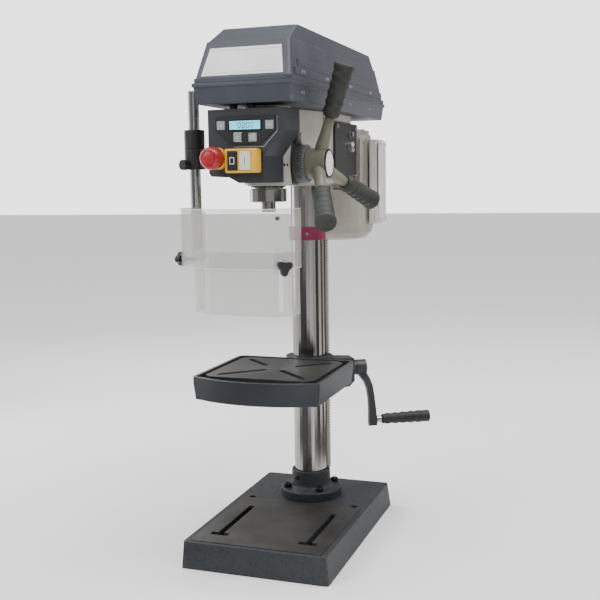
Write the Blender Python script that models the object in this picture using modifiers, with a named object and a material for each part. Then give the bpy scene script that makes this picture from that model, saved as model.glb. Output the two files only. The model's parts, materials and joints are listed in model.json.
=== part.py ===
"""Bench drill press: cast base, steel column, crank-lifted table, belt-driven head.

Frame: metres, +Z up, origin on the column axis at the surface the base stands on.
The operator stands on the -Y side, and +X is the machine's right.
"""
from math import acos, cos, hypot, pi, radians, sin, sqrt, tan

import bmesh
import bpy
from mathutils import Matrix, Vector

# ---------------------------------------------------------------- driving dimensions
GAP = 0.0003
RUN = 0.0010
DRAWN_LARGER = 100.0

COLUMN_R = 0.036
COLUMN_BORE_R = 0.031
COLUMN_TOP = 0.8790

BASE_HALF_W = 0.153
BASE_TOP_HALF_W = 0.148
BASE_FRONT = -0.356
BASE_BACK = 0.132
BASE_TAPER_BACK = 0.121
BASE_H = 0.055
BASE_PAD_H = 0.0565
BASE_WALL = 0.014
T_SLOT_X = 0.093

FLANGE_R = 0.0685
FLANGE_SLEEVE_R = 0.043
FLANGE_TOP = 0.115

SIDE_ANGLE = radians(32.0)
MODULE = 0.002
GEAR_TEETH = 14
GEAR_R = MODULE * GEAR_TEETH / 2
ADDENDUM = 0.8 * MODULE
DEDENDUM = 1.0 * MODULE
PRESSURE_ANGLE = radians(20.0)
BACKLASH = 0.0003

RACK_IN = COLUMN_R + 2 * GAP
RACK_OUT = 0.0455
RACK_HALF_W = 0.007
RACK_LOW = FLANGE_TOP + GAP
RACK_HIGH = 0.6285
COLLAR_R = 0.0405
COLLAR_TOP = 0.658

WORM_Z = 0.338
WORM_R = 0.0075
LIFT_GEAR_R = RACK_OUT - ADDENDUM + GEAR_R
LIFT_GEAR_Z = WORM_Z - GEAR_R - ADDENDUM - WORM_R - GAP
CRANK_HUB_IN = 0.107
CRANK_HUB_OUT = 0.129
CRANK_THROW = 0.119
CRANK_SWING = radians(14.6)
CRANK_GRIP_IN = 0.1580
CRANK_GRIP_OUT = 0.2720

TILT_Z = 0.338
TILT_FACE_Y = -0.080
TABLE_HALF_W = 0.130
TABLE_FRONT = -0.334
TABLE_BULGE = 0.024
TABLE_BACK = -0.086
TABLE_TOP = 0.381
TABLE_BOTTOM = 0.336
TABLE_RIM = 0.007
PLATE_HALF_W = 0.113
PLATE_FRONT = -0.316
PLATE_BACK = -0.104

HEAD_BOTTOM = 0.750
HEAD_TOP = 0.8987
HEAD_HALF_W = 0.064
HEAD_BACK = 0.125
NECK_HALF_W = 0.040
QUILL_Y = -0.233
QUILL_R = 0.030
QUILL_BOSS_R = 0.046
QUILL_CAP_R = 0.036
QUILL_STROKE = 0.080
SPINDLE_R = 0.014
SPINDLE_NOSE = 0.6965
SPINDLE_TOP = 1.004
TAPER_MOUTH_R = 0.0089
TAPER_END_R = 0.0073
TAPER_DEPTH = 0.062

FEED_Y = QUILL_Y + 0.041
FEED_Z = 0.789
QUILL_RACK_TOP = FEED_Y - GEAR_R + ADDENDUM
SPOKE_COUNT = 3
SPOKE_X = 0.088
SPOKE_TILT = radians(19.0)
SPOKE_FIRST = radians(96.0)
SPOKE_R = 0.0075
SPOKE_ROOT = 0.022
GRIP_START = 0.094
GRIP_END = 0.196

TRAY_BOTTOM = 0.899
TRAY_RIM = 0.936
TRAY_HALF_W = 0.091
TRAY_FRONT = -0.356
TRAY_BACK = 0.299
RIM_HALF_W = 0.098
RIM_FRONT = -0.361
RIM_BACK = 0.3015
SHOULDER_HALF_W = 0.083
SHOULDER_FRONT = -0.328
SHOULDER_BACK = 0.274
SHOULDER_Z = 1.013
ROOF_HALF_W = 0.076
ROOF_FRONT = -0.265
ROOF_BACK = 0.247
ROOF_Z = 1.045
SHEET = 0.0028

PULLEY_LOW = 0.9100
STEP_H = 0.0130
STEP_FLANGE = 0.0030
GROOVE_DEPTH = 0.0060
SPINDLE_STEPS = (0.060, 0.050, 0.040, 0.030)
IDLER_STEPS = (0.025, 0.035, 0.045, 0.055)
MOTOR_STEPS = (0.060, 0.050, 0.040, 0.030)
FRONT_BELT_STEP = 1
REAR_BELT_STEP = 3
BELT_H = 0.0085

MOTOR_Y = 0.225
MOTOR_R = 0.078
MOTOR_FIN_R = 0.086
MOTOR_FINS = 22
MOTOR_LOW = 0.735
MOTOR_HIGH = 0.8615
MOTOR_TRAVEL = 0.008
COWL_LOW = 0.617

PANEL_FRONT = -0.3385
PANEL_BACK = -0.262
SWITCH_FRONT = -0.363
ESTOP_X = -0.057
ESTOP_Z = 0.799

ROD_X = -0.136
ROD_Y = -0.274
ROD_R = 0.0105
ROD_LOW = 0.600
ROD_TOP = 0.932
GUARD_LOW = 0.597
GUARD_TOP = 0.707
SHIELD_LOW = 0.511
SHIELD_TOP = 0.628
SHIELD_SHEET = 0.0025
GUARD_KNOB_Z = 0.602

RADIAL = Vector((cos(SIDE_ANGLE), sin(SIDE_ANGLE), 0.0))
TANGENT = Vector((-sin(SIDE_ANGLE), cos(SIDE_ANGLE), 0.0))
X_AXIS = Vector((1.0, 0.0, 0.0))
Y_AXIS = Vector((0.0, 1.0, 0.0))
Z_AXIS = Vector((0.0, 0.0, 1.0))

# ---------------------------------------------------------------- scene and materials
for old in list(bpy.data.objects):
    bpy.data.objects.remove(old)

parts = bpy.data.collections.new("drill_press")
cutters = bpy.data.collections.new("cutters")
bpy.context.scene.collection.children.link(parts)
bpy.context.scene.collection.children.link(cutters)

FINISHES = {
    "charcoal_cast": ((0.060, 0.066, 0.072), 0.55, 0.2),
    "table_cast": ((0.045, 0.048, 0.050), 0.5, 0.3),
    "head_cast": ((0.42, 0.40, 0.35), 0.5, 0.2),
    "cover_paint": ((0.075, 0.082, 0.098), 0.45, 0.0),
    "housing_plastic": ((0.085, 0.092, 0.108), 0.5, 0.0),
    "bright_steel": ((0.62, 0.62, 0.62), 0.25, 1.0),
    "aluminium": ((0.62, 0.62, 0.60), 0.4, 1.0),
    "motor_paint": ((0.36, 0.34, 0.31), 0.5, 0.1),
    "collar_red": ((0.19, 0.015, 0.045), 0.4, 0.1),
    "rubber_black": ((0.030, 0.032, 0.028), 0.7, 0.0),
    "plastic_black": ((0.022, 0.023, 0.025), 0.45, 0.0),
    "belt_rubber": ((0.020, 0.020, 0.020), 0.8, 0.0),
    "button_red": ((0.50, 0.020, 0.018), 0.35, 0.0),
    "switch_yellow": ((0.80, 0.50, 0.020), 0.4, 0.0),
    "button_white": ((0.75, 0.74, 0.68), 0.4, 0.0),
    "key_grey": ((0.33, 0.35, 0.37), 0.5, 0.0),
    "clear_plastic": ((0.75, 0.76, 0.74), 0.1, 0.0),
}


def finish(name):
    """The Principled material of one finish, made once."""
    if name in bpy.data.materials:
        return bpy.data.materials[name]
    colour, roughness, metallic = FINISHES[name]
    material = bpy.data.materials.new(name)
    material.use_nodes = True
    shader = material.node_tree.nodes["Principled BSDF"]
    shader.inputs["Base Color"].default_value = (*colour, 1.0)
    shader.inputs["Roughness"].default_value = roughness
    shader.inputs["Metallic"].default_value = metallic
    return material


# ---------------------------------------------------------------- modelling helpers
def add_object(name, data, finish_name):
    """Link a mesh or curve as a part, or as a cutter when it has no finish."""
    obj = bpy.data.objects.new(name, data)
    if finish_name is None:
        cutters.objects.link(obj)
        obj.hide_render = True
        obj.display_type = "WIRE"
    else:
        parts.objects.link(obj)
        data.materials.append(finish(finish_name))
    return obj


def mesh_object(name, bm, finish_name):
    """Turn a bmesh into a linked object with faces pointing out."""
    bmesh.ops.recalc_face_normals(bm, faces=bm.faces)
    mesh = bpy.data.meshes.new(name)
    bm.to_mesh(mesh)
    bm.free()
    return add_object(name, mesh, finish_name)


def box(name, low, high, finish_name=None):
    """A box between two corners."""
    low, high = Vector(low), Vector(high)
    bm = bmesh.new()
    bmesh.ops.create_cube(bm, size=1.0)
    bmesh.ops.scale(bm, verts=bm.verts, vec=high - low)
    bmesh.ops.translate(bm, verts=bm.verts, vec=(low + high) / 2)
    return mesh_object(name, bm, finish_name)


def turn_to(axis):
    """The rotation that takes +Z to an axis."""
    return Z_AXIS.rotation_difference(Vector(axis)).to_matrix().to_4x4()


def rod(name, start, end, radius, finish_name=None, sides=24, end_radius=None):
    """A cylinder or cone between two points."""
    start, end = Vector(start), Vector(end)
    bm = bmesh.new()
    bmesh.ops.create_cone(
        bm,
        cap_ends=True,
        segments=sides,
        radius1=radius,
        radius2=radius if end_radius is None else end_radius,
        depth=(end - start).length,
    )
    place = Matrix.Translation((start + end) / 2) @ turn_to((end - start).normalized())
    bmesh.ops.transform(bm, matrix=place, verts=bm.verts)
    return mesh_object(name, bm, finish_name)


def turned(name, profile, origin, axis, finish_name=None, sides=24):
    """A turned shape: (radius, height) points down the outer side, spun about an axis."""
    bm = bmesh.new()
    ring = [bm.verts.new((radius, 0.0, height)) for radius, height in profile]
    for a, b in zip(ring, ring[1:]):
        bm.edges.new((a, b))
    if profile[0][0] > 0.0:
        bm.edges.new((ring[-1], ring[0]))
    mesh = bpy.data.meshes.new(name)
    bm.to_mesh(mesh)
    bm.free()
    obj = add_object(name, mesh, finish_name)
    screw = obj.modifiers.new("Turn", "SCREW")
    screw.steps = sides
    screw.render_steps = sides
    screw.use_merge_vertices = True
    screw.merge_threshold = 0.00002
    obj.matrix_world = Matrix.Translation(origin) @ turn_to(axis)
    return obj


def to_mesh(curve_obj, shrink=1.0):
    """Swap a curve object for the welded mesh of its evaluated shape."""
    bpy.context.view_layer.update()
    graph = bpy.context.evaluated_depsgraph_get()
    mesh = bpy.data.meshes.new_from_object(curve_obj.evaluated_get(graph))
    bm = bmesh.new()
    bm.from_mesh(mesh)
    bmesh.ops.scale(bm, verts=bm.verts, vec=(shrink, shrink, shrink))
    bmesh.ops.remove_doubles(bm, verts=bm.verts, dist=0.000001)
    bmesh.ops.recalc_face_normals(bm, faces=bm.faces)
    bm.to_mesh(mesh)
    bm.free()
    name, place = curve_obj.name, curve_obj.matrix_world.copy()
    collection = curve_obj.users_collection[0]
    hidden = curve_obj.hide_render
    bpy.data.objects.remove(curve_obj)
    obj = bpy.data.objects.new(name, mesh)
    collection.objects.link(obj)
    obj.matrix_world = place
    if hidden:
        obj.hide_render = True
        obj.display_type = "WIRE"
    return obj


def plate(name, outlines, thickness, place, finish_name=None):
    """A flat outline, with any holes, given its thickness about its own XY plane.

    It is drawn DRAWN_LARGER times its size, because a curve's fill merges points that lie close.
    """
    curve = bpy.data.curves.new(name, "CURVE")
    curve.dimensions = "2D"
    curve.fill_mode = "BOTH"
    curve.extrude = DRAWN_LARGER * thickness / 2
    for outline in outlines:
        spline = curve.splines.new("POLY")
        spline.points.add(len(outline) - 1)
        for point, (u, v) in zip(spline.points, outline):
            point.co = (DRAWN_LARGER * u, DRAWN_LARGER * v, 0.0, 1.0)
        spline.use_cyclic_u = True
    obj = add_object(name, curve, finish_name)
    obj.matrix_world = place
    return to_mesh(obj, 1.0 / DRAWN_LARGER)


def tube(name, points, radius, finish_name=None, resolution=3):
    """A round bar along a list of points."""
    curve = bpy.data.curves.new(name, "CURVE")
    curve.dimensions = "3D"
    curve.bevel_depth = radius
    curve.bevel_resolution = resolution
    curve.use_fill_caps = True
    spline = curve.splines.new("POLY")
    spline.points.add(len(points) - 1)
    for point, co in zip(spline.points, points):
        point.co = (*co, 1.0)
    return to_mesh(add_object(name, curve, finish_name))


def loft(name, rings, finish_name=None, close_low=True, close_high=True):
    """Skin a stack of rings that share a point count."""
    bm = bmesh.new()
    layers = [[bm.verts.new(point) for point in ring] for ring in rings]
    for low, high in zip(layers, layers[1:]):
        count = len(low)
        for i in range(count):
            j = (i + 1) % count
            bm.faces.new((low[i], low[j], high[j], high[i]))
    if close_low:
        bm.faces.new(list(reversed(layers[0])))
    if close_high:
        bm.faces.new(layers[-1])
    return mesh_object(name, bm, finish_name)


def toothed_plate(name, outline, thickness, place, finish_name=None):
    """An extruded outline with teeth, where a curve's fill would leave slivers between them."""
    half = thickness / 2
    obj = loft(name, [[(u, v, w) for u, v in outline] for w in (-half, half)], finish_name)
    obj.matrix_world = place
    return obj


def combine(obj, other, operation):
    """Boolean one object with another, which becomes a hidden cutter."""
    if parts in other.users_collection:
        parts.objects.unlink(other)
        cutters.objects.link(other)
    other.hide_render = True
    other.display_type = "WIRE"
    modifier = obj.modifiers.new(other.name, "BOOLEAN")
    modifier.operation = operation
    modifier.object = other
    return obj


def cut(obj, *others):
    """Cut each of the other shapes out of an object."""
    for other in others:
        combine(obj, other, "DIFFERENCE")
    return obj


def join(obj, *others):
    """Join each of the other shapes to an object."""
    for other in others:
        combine(obj, other, "UNION")
    return obj


def round_edges(obj, width, segments=2, angle=35.0):
    """Bevel the edges sharper than an angle."""
    bevel = obj.modifiers.new("Bevel", "BEVEL")
    bevel.width = width
    bevel.segments = segments
    bevel.limit_method = "ANGLE"
    bevel.angle_limit = radians(angle)
    return obj


def thicken(obj, thickness):
    """Give an open surface its wall, on the inner side."""
    solid = obj.modifiers.new("Wall", "SOLIDIFY")
    solid.thickness = thickness
    solid.offset = -1.0
    solid.use_even_offset = True
    return obj


def pivot(obj, point):
    """Move an object's origin without moving its shape."""
    shift = obj.matrix_world.inverted() @ Vector(point)
    obj.data.transform(Matrix.Translation(-shift))
    obj.matrix_world = obj.matrix_world @ Matrix.Translation(shift)
    return obj


def hang_on_axis(name, point, members):
    """Parent a moving group's pieces to an empty on their joint's axis, leaving them in place."""
    empty = bpy.data.objects.new(name, None)
    empty.location = point
    parts.objects.link(empty)
    for member in members:
        piece = parts.objects[member]
        piece.parent = empty
        piece.matrix_parent_inverse = Matrix.Translation(-Vector(point))


def smooth(obj):
    """Shade round sides smooth and keep real edges sharp."""
    if obj.type == "MESH":
        obj.data.shade_smooth()
        obj.data.set_sharp_from_angle(angle=radians(40.0))


def arc(centre, radius, start, end, count):
    """Points on an arc, ends included, angles in degrees."""
    step = (end - start) / (count - 1)
    angles = [radians(start + step * i) for i in range(count)]
    return [(centre[0] + radius * cos(a), centre[1] + radius * sin(a)) for a in angles]


def round_rect(left, right, front, back, radius, count=4):
    """A rectangle outline with rounded corners, anticlockwise."""
    corners = (
        ((right - radius, front + radius), -90.0),
        ((right - radius, back - radius), 0.0),
        ((left + radius, back - radius), 90.0),
        ((left + radius, front + radius), 180.0),
    )
    return [p for centre, start in corners for p in arc(centre, radius, start, start + 90.0, count)]


def at_height(outline, z):
    """Lift a flat outline to a height."""
    return [(x, y, z) for x, y in outline]


def frame(origin, u, v):
    """A placement whose local X and Y run along u and v."""
    u, v = Vector(u), Vector(v)
    w = u.cross(v)
    return Matrix.Translation(origin) @ Matrix((u, v, w)).transposed().to_4x4()


def side_point(radial, tangent, z):
    """A point in the gearbox's own directions about the column."""
    return RADIAL * radial + TANGENT * tangent + Z_AXIS * z


def gear_outline(teeth, slack):
    """A spur gear's outline with involute flanks and a tooth on its +X side."""
    base = GEAR_R * cos(PRESSURE_ANGLE)

    def involute(radius):
        angle = acos(min(1.0, base / radius))
        return tan(angle) - angle

    half = pi / (2 * teeth) - slack / (2 * GEAR_R)
    root, tip = GEAR_R - DEDENDUM, GEAR_R + ADDENDUM
    flank = (root, GEAR_R, tip)
    widths = [half + involute(GEAR_R) - involute(max(r, base)) for r in flank]
    outline = []
    for tooth in range(teeth):
        centre = 2 * pi * tooth / teeth
        rising = [(r, centre - w) for r, w in zip(flank, widths)]
        falling = [(r, centre + w) for r, w in zip(reversed(flank), reversed(widths))]
        outline += [(r * cos(a), r * sin(a)) for r, a in rising + falling]
    return outline


def rack_teeth(low, high, gap_at, slack):
    """A rack's toothed side as (depth above the pitch line, height) points."""
    pitch = pi * MODULE
    lean = tan(PRESSURE_ANGLE)
    half = pitch / 4 - slack / 2
    first = int((low - gap_at) / pitch) - 1
    points = []
    for index in range(first, first + int((high - low) / pitch) + 4):
        centre = gap_at + (index + 0.5) * pitch
        if centre - pitch / 2 < low or centre + pitch / 2 > high:
            continue
        points += [
            (-DEDENDUM, centre - half - DEDENDUM * lean),
            (ADDENDUM, centre - half + ADDENDUM * lean),
            (ADDENDUM, centre + half - ADDENDUM * lean),
            (-DEDENDUM, centre + half + DEDENDUM * lean),
        ]
    return points


# ---------------------------------------------------------------- base and column
def build_base():
    """Hollow cast foot with two T-slots, two bolt holes and a boss under the column."""
    radius = 0.006
    foot = round_rect(-BASE_HALF_W, BASE_HALF_W, BASE_FRONT, BASE_BACK, radius, 3)
    top = round_rect(-BASE_TOP_HALF_W, BASE_TOP_HALF_W, BASE_FRONT + 0.001, BASE_TAPER_BACK, radius, 3)
    base = loft("base", [at_height(foot, 0.0), at_height(top, BASE_H)], "charcoal_cast")
    pad = round_rect(-0.136, 0.136, -0.345, -0.072, 0.004, 3)
    join(base, loft("base_pad", [at_height(pad, 0.045), at_height(pad, BASE_PAD_H)]))
    roof = BASE_H - 0.012
    inner = BASE_HALF_W - BASE_WALL
    boss = 0.070
    pockets = (
        ((-inner, BASE_FRONT + BASE_WALL, -0.001), (-0.008, -0.082, roof)),
        ((0.008, BASE_FRONT + BASE_WALL, -0.001), (inner, -0.082, roof)),
        ((-inner, -0.070, -0.001), (-boss, BASE_BACK - 0.022, roof)),
        ((boss, -0.070, -0.001), (inner, BASE_BACK - 0.022, roof)),
    )
    for index, (low, high) in enumerate(pockets):
        cut(base, box(f"base_pocket_{index}", low, high))
    for side in (-1, 1):
        name = "left" if side < 0 else "right"
        x = side * T_SLOT_X
        stem = box(f"slot_stem_{name}", (x - 0.006, -0.300, 0.03), (x + 0.006, -0.124, 0.07))
        bar = box(f"slot_bar_{name}", (x - 0.0185, -0.305, 0.03), (x + 0.0185, -0.291, 0.07))
        hole = rod(f"base_hole_{name}", (side * 0.118, -0.062, 0.03), (side * 0.118, -0.062, 0.07), 0.0075)
        cut(base, stem, bar, hole)
    return base


def build_column():
    """Ground steel tube between the flange and the head."""
    low = BASE_H + GAP
    profile = [
        (COLUMN_R, COLUMN_TOP),
        (COLUMN_R, low),
        (COLUMN_BORE_R, low),
        (COLUMN_BORE_R, COLUMN_TOP),
    ]
    return turned("column", profile, (0, 0, 0), Z_AXIS, "bright_steel", 32)


def build_flange():
    """Cast socket that bolts to the base and holds the column's foot."""
    bore = COLUMN_R + GAP
    profile = [
        (FLANGE_SLEEVE_R - 0.0015, FLANGE_TOP),
        (FLANGE_SLEEVE_R, FLANGE_TOP - 0.0015),
        (FLANGE_SLEEVE_R + 0.0005, 0.088),
        (FLANGE_SLEEVE_R + 0.003, 0.081),
        (FLANGE_SLEEVE_R + 0.009, 0.0765),
        (FLANGE_R - 0.002, 0.0745),
        (FLANGE_R, 0.0725),
        (FLANGE_R, BASE_H + GAP),
        (bore, BASE_H + GAP),
        (bore, FLANGE_TOP),
    ]
    return turned("column_flange", profile, (0, 0, 0), Z_AXIS, "charcoal_cast", 32)


def build_rack():
    """Lifting rack that stands beside the column and turns round it with the table."""
    teeth = rack_teeth(RACK_LOW + 0.002, RACK_HIGH - 0.002, LIFT_GEAR_Z, BACKLASH)
    pitch_line = RACK_OUT - ADDENDUM
    outline = [(RACK_IN, RACK_LOW), (RACK_OUT, RACK_LOW)]
    outline += [(pitch_line + depth, z) for depth, z in teeth]
    outline += [(RACK_OUT, RACK_HIGH), (RACK_IN, RACK_HIGH)]
    place = frame(Vector(), RADIAL, Z_AXIS)
    rack = toothed_plate("rack", outline, 2 * RACK_HALF_W, place, "bright_steel")
    return pivot(rack, (0, 0, 0))


def build_rack_collar():
    """Ring clamped on the column that keeps the rack's top end in."""
    low = RACK_HIGH + GAP
    bore = COLUMN_R + GAP
    profile = [
        (COLLAR_R - 0.001, COLLAR_TOP),
        (COLLAR_R, COLLAR_TOP - 0.001),
        (COLLAR_R, low + 0.001),
        (COLLAR_R - 0.001, low),
        (bore, low),
        (bore, COLLAR_TOP),
    ]
    return turned("rack_collar", profile, (0, 0, 0), Z_AXIS, "collar_red", 32)


# ---------------------------------------------------------------- table lift and table
def build_bracket():
    """Split sleeve on the column with the gearbox at its side and the tilt face in front."""
    low, high = 0.290, 0.372
    sleeve = rod("table_bracket", (0, 0, low), (0, 0, high), 0.052, "table_cast", 28)
    arm = box("bracket_arm", (-0.036, TILT_FACE_Y + 0.006, 0.304), (0.036, -0.030, high))
    face = rod("tilt_face", (0, TILT_FACE_Y, TILT_Z), (0, -0.040, TILT_Z), 0.034, sides=24)
    gearbox = plate(
        "gearbox",
        [[(0.040, 0.292), (0.086, 0.300), (0.098, 0.312), (0.098, 0.362), (0.040, 0.366)]],
        0.046,
        frame(Vector(), RADIAL, Z_AXIS),
    )
    nose = rod("gearbox_nose", side_point(0.090, 0, WORM_Z), side_point(0.1065, 0, WORM_Z), 0.0165)
    ears = box("clamp_ears", (-0.016, 0.040, 0.305), (0.016, 0.078, 0.357))
    join(sleeve, arm, face, gearbox, nose, ears)
    bore = rod("column_bore", (0, 0, 0.28), (0, 0, 0.38), COLUMN_R + GAP, sides=32)
    key = plate(
        "rack_way",
        [[(0.030, 0.28), (RACK_OUT + 2 * GAP, 0.28), (RACK_OUT + 2 * GAP, 0.38), (0.030, 0.38)]],
        2 * (RACK_HALF_W + GAP),
        frame(Vector(), RADIAL, Z_AXIS),
    )
    wheel = side_point(LIFT_GEAR_R, 0, LIFT_GEAR_Z)
    chamber = rod("gear_chamber", wheel - TANGENT * 0.0075, wheel + TANGENT * 0.0075, 0.0165)
    axle = rod("gear_axle_bore", wheel - TANGENT * 0.0300, wheel + TANGENT * 0.0140, 0.0053, sides=16)
    worm_way = rod(
        "worm_way", side_point(0.0460, 0, WORM_Z), side_point(0.0860, 0, WORM_Z), WORM_R + 2 * GAP, sides=20
    )
    shaft_bore = rod(
        "shaft_bore", side_point(0.0800, 0, WORM_Z), side_point(0.1200, 0, WORM_Z), 0.0063, sides=20
    )
    slit = box("clamp_slit", (-0.0015, 0.030, 0.28), (0.0015, 0.090, 0.38))
    bolt_way = rod("clamp_bolt_bore", (-0.030, 0.066, 0.331), (0.030, 0.066, 0.331), 0.0053, sides=12)
    cut(sleeve, bore, key, chamber, axle, worm_way, shaft_bore, slit, bolt_way)
    return sleeve


def build_worm():
    """Crank shaft with the worm that drives the lift gear."""
    core = 0.0055
    shaft = rod("lift_worm", side_point(0.0480, 0, WORM_Z), side_point(0.1285, 0, WORM_Z), 0.0060,
                "bright_steel", 20)
    lead = pi * MODULE
    thread_r = 0.0016
    turns = 4
    per_turn = 8
    helix = []
    for step in range(turns * per_turn + 1):
        angle = 2 * pi * step / per_turn
        along = 0.0510 + lead * step / per_turn
        spin = TANGENT * cos(angle) + Z_AXIS * sin(angle)
        helix.append(side_point(along, 0, WORM_Z) + spin * core)
    join(shaft, tube("worm_thread", helix, thread_r, resolution=0))
    return pivot(shaft, side_point(0.100, 0, WORM_Z))


def build_lift_gear():
    """Gear between the worm and the rack, with its own axle stubs."""
    centre = side_point(LIFT_GEAR_R, 0, LIFT_GEAR_Z)
    place = frame(centre, -RADIAL, Z_AXIS)
    gear = toothed_plate("lift_gear", gear_outline(GEAR_TEETH, BACKLASH), 0.012, place, "bright_steel")
    axle = rod("gear_axle", centre - TANGENT * 0.0205, centre + TANGENT * 0.0130, 0.0050, sides=16)
    return join(gear, axle)


def crank_frame():
    """Placement of the crank's plane: local X is radial, local Y points down the arm."""
    down = -Z_AXIS * cos(CRANK_SWING) - TANGENT * sin(CRANK_SWING)
    return frame(side_point(0, 0, WORM_Z), RADIAL, down)


def build_crank_arm():
    """Cast arm that curves outwards from its hub down to the grip's pin."""
    inner = [(0.1080, 0.010), (0.1150, 0.021), (0.1235, 0.033), (0.1282, 0.048), (0.1300, 0.070)]
    inner += [(0.1290, 0.100), (0.1270, 0.122), (0.1275, 0.133)]
    outer = [(0.1445, 0.133), (0.1455, 0.122), (0.1448, 0.098), (0.1435, 0.066), (0.1415, 0.044)]
    outer += [(0.1365, 0.028), (0.1285, 0.012), (0.1275, -0.004), (0.1090, -0.004)]
    arm = plate("crank_arm", [inner + outer], 0.0140, crank_frame(), "table_cast")
    hub = rod("crank_hub", side_point(CRANK_HUB_IN, 0, WORM_Z), side_point(CRANK_HUB_OUT, 0, WORM_Z), 0.0175)
    bore = rod("crank_bore", side_point(0.100, 0, WORM_Z), side_point(0.135, 0, WORM_Z), 0.0063, sides=20)
    local = crank_frame()
    pin_start = local @ Vector((0.140, CRANK_THROW, 0))
    pin_end = local @ Vector((CRANK_GRIP_OUT - 0.012, CRANK_THROW, 0))
    pin = rod("crank_pin", pin_start, pin_end, 0.0050, sides=16)
    cut(join(arm, hub, pin), bore)
    return pivot(arm, side_point(0.118, 0, WORM_Z))


def grip_profile(length, neck_r, body_r, end_r, ribs, bore_r, bore_depth):
    """A ribbed, flared hand grip standing on its mouth at height 0."""
    wall = [(0.0, length)]
    wall += [(end_r * 0.55, length - 0.0002), (end_r * 0.92, length - 0.0035), (end_r, length - 0.008)]
    span = length - 0.024
    for rib in range(ribs):
        top = length - 0.012 - span * rib / ribs
        swell = body_r + (end_r - body_r) * (1 - rib / ribs) * 0.6
        wall += [(swell - 0.0024, top - span / ribs * 0.30), (swell, top - span / ribs * 0.78)]
    wall += [(neck_r, 0.0), (bore_r, 0.0), (bore_r, bore_depth), (0.0, bore_depth)]
    return wall


def build_crank_grip():
    """Ribbed grip that spins on the crank's pin."""
    local = crank_frame()
    mouth = local @ Vector((CRANK_GRIP_IN, CRANK_THROW, 0))
    length = CRANK_GRIP_OUT - CRANK_GRIP_IN
    profile = grip_profile(length, 0.0095, 0.0128, 0.0150, 3, 0.0054, length - 0.008)
    return turned("crank_grip", profile, mouth, RADIAL, "rubber_black", 16)


def build_lock_lever():
    """Clamp bolt with its lever, through the bracket's split ears."""
    bolt = rod("table_lock_lever", (-0.020, 0.066, 0.331), (0.030, 0.066, 0.331), 0.0050, "bright_steel", 16)
    hub = rod("lever_hub", (0.0175, 0.066, 0.331), (0.030, 0.066, 0.331), 0.0090, sides=20)
    arm = rod("lever_arm", (0.0240, 0.066, 0.331), (0.0300, 0.118, 0.303), 0.0045, sides=12)
    knob = rod("lever_knob", (0.0290, 0.110, 0.3073), (0.0318, 0.134, 0.2944), 0.0085, sides=16)
    head = rod("bolt_head", (-0.0235, 0.066, 0.331), (-0.0175, 0.066, 0.331), 0.0085, sides=6)
    join(bolt, hub, arm, knob, head)
    return pivot(bolt, (0.0, 0.066, 0.331))


def table_outline(inset):
    """The table's plan: round corners and a bowed front edge."""
    right = TABLE_HALF_W - inset
    back = TABLE_BACK - inset
    front = TABLE_FRONT + inset
    corner = 0.014 - min(inset, 0.006)
    bow = [(-right + 0.016 + (2 * right - 0.032) * i / 10, i / 10) for i in range(11)]
    outline = [(x, front - TABLE_BULGE * (1 - (2 * t - 1) ** 2) ** 0.9) for x, t in bow]
    outline += arc((right - corner, front + corner), corner, -40.0, 0.0, 3)
    outline += arc((right - corner, back - corner), corner, 0.0, 90.0, 4)
    outline += arc((-right + corner, back - corner), corner, 90.0, 180.0, 4)
    outline += arc((-right + corner, front + corner), corner, 180.0, 220.0, 3)
    return outline


def build_table():
    """Work table: raised ground plate, coolant channel round it, four diagonal slots."""
    deck_low, deck_high = 0.352, 0.361
    skirt = loft(
        "table",
        [at_height(table_outline(0.004), TABLE_BOTTOM), at_height(table_outline(0.0), 0.366),
         at_height(table_outline(0.0), TABLE_TOP)],
        "table_cast",
    )
    well = table_outline(TABLE_RIM)
    cut(skirt, loft("table_well", [at_height(well, deck_high), at_height(well, 0.40)]))
    cut(skirt, loft("table_under", [at_height(well, 0.32), at_height(well, deck_low)]))
    chamfer = 0.014
    w, front, back = PLATE_HALF_W, PLATE_FRONT, PLATE_BACK
    plan = [
        (-w + chamfer, front), (w - chamfer, front), (w, front + chamfer), (w, back - chamfer),
        (w - chamfer, back), (-w + chamfer, back), (-w, back - chamfer), (-w, front + chamfer),
    ]
    join(skirt, loft("table_plate", [at_height(plan, 0.3545), at_height(plan, TABLE_TOP)]))
    pad = box("tilt_pad", (-0.030, -0.190, 0.312), (0.030, -0.084, 0.3555))
    boss = rod("tilt_boss", (0, TILT_FACE_Y - GAP, TILT_Z), (0, -0.170, TILT_Z), 0.0335, sides=24)
    join(skirt, pad, boss)
    middle = Vector((0.0, (front + back) / 2, 0.0))
    for index, (sx, sy) in enumerate(((1, 1), (1, -1), (-1, 1), (-1, -1))):
        along = Vector((sx * w, sy * (back - front) / 2, 0.0)).normalized()
        across = Vector((-along.y, along.x, 0.0))
        place = frame(middle + Z_AXIS * 0.37, along, across)
        near = 0.048 if sy > 0 else 0.026
        outline = arc((near, 0), 0.0065, 90.0, 270.0, 7) + arc((0.118, 0), 0.0065, -90.0, 90.0, 7)
        cut(skirt, plate(f"table_slot_{index}", [outline], 0.080, place))
    return pivot(skirt, (0, TILT_FACE_Y, TILT_Z))


# ---------------------------------------------------------------- head
def boss_clearance(name):
    """A cutter that keeps a neighbour off the round quill boss."""
    return rod(name, (0, QUILL_Y, 0.73), (0, QUILL_Y, 0.91), QUILL_BOSS_R + GAP, sides=28)


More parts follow.
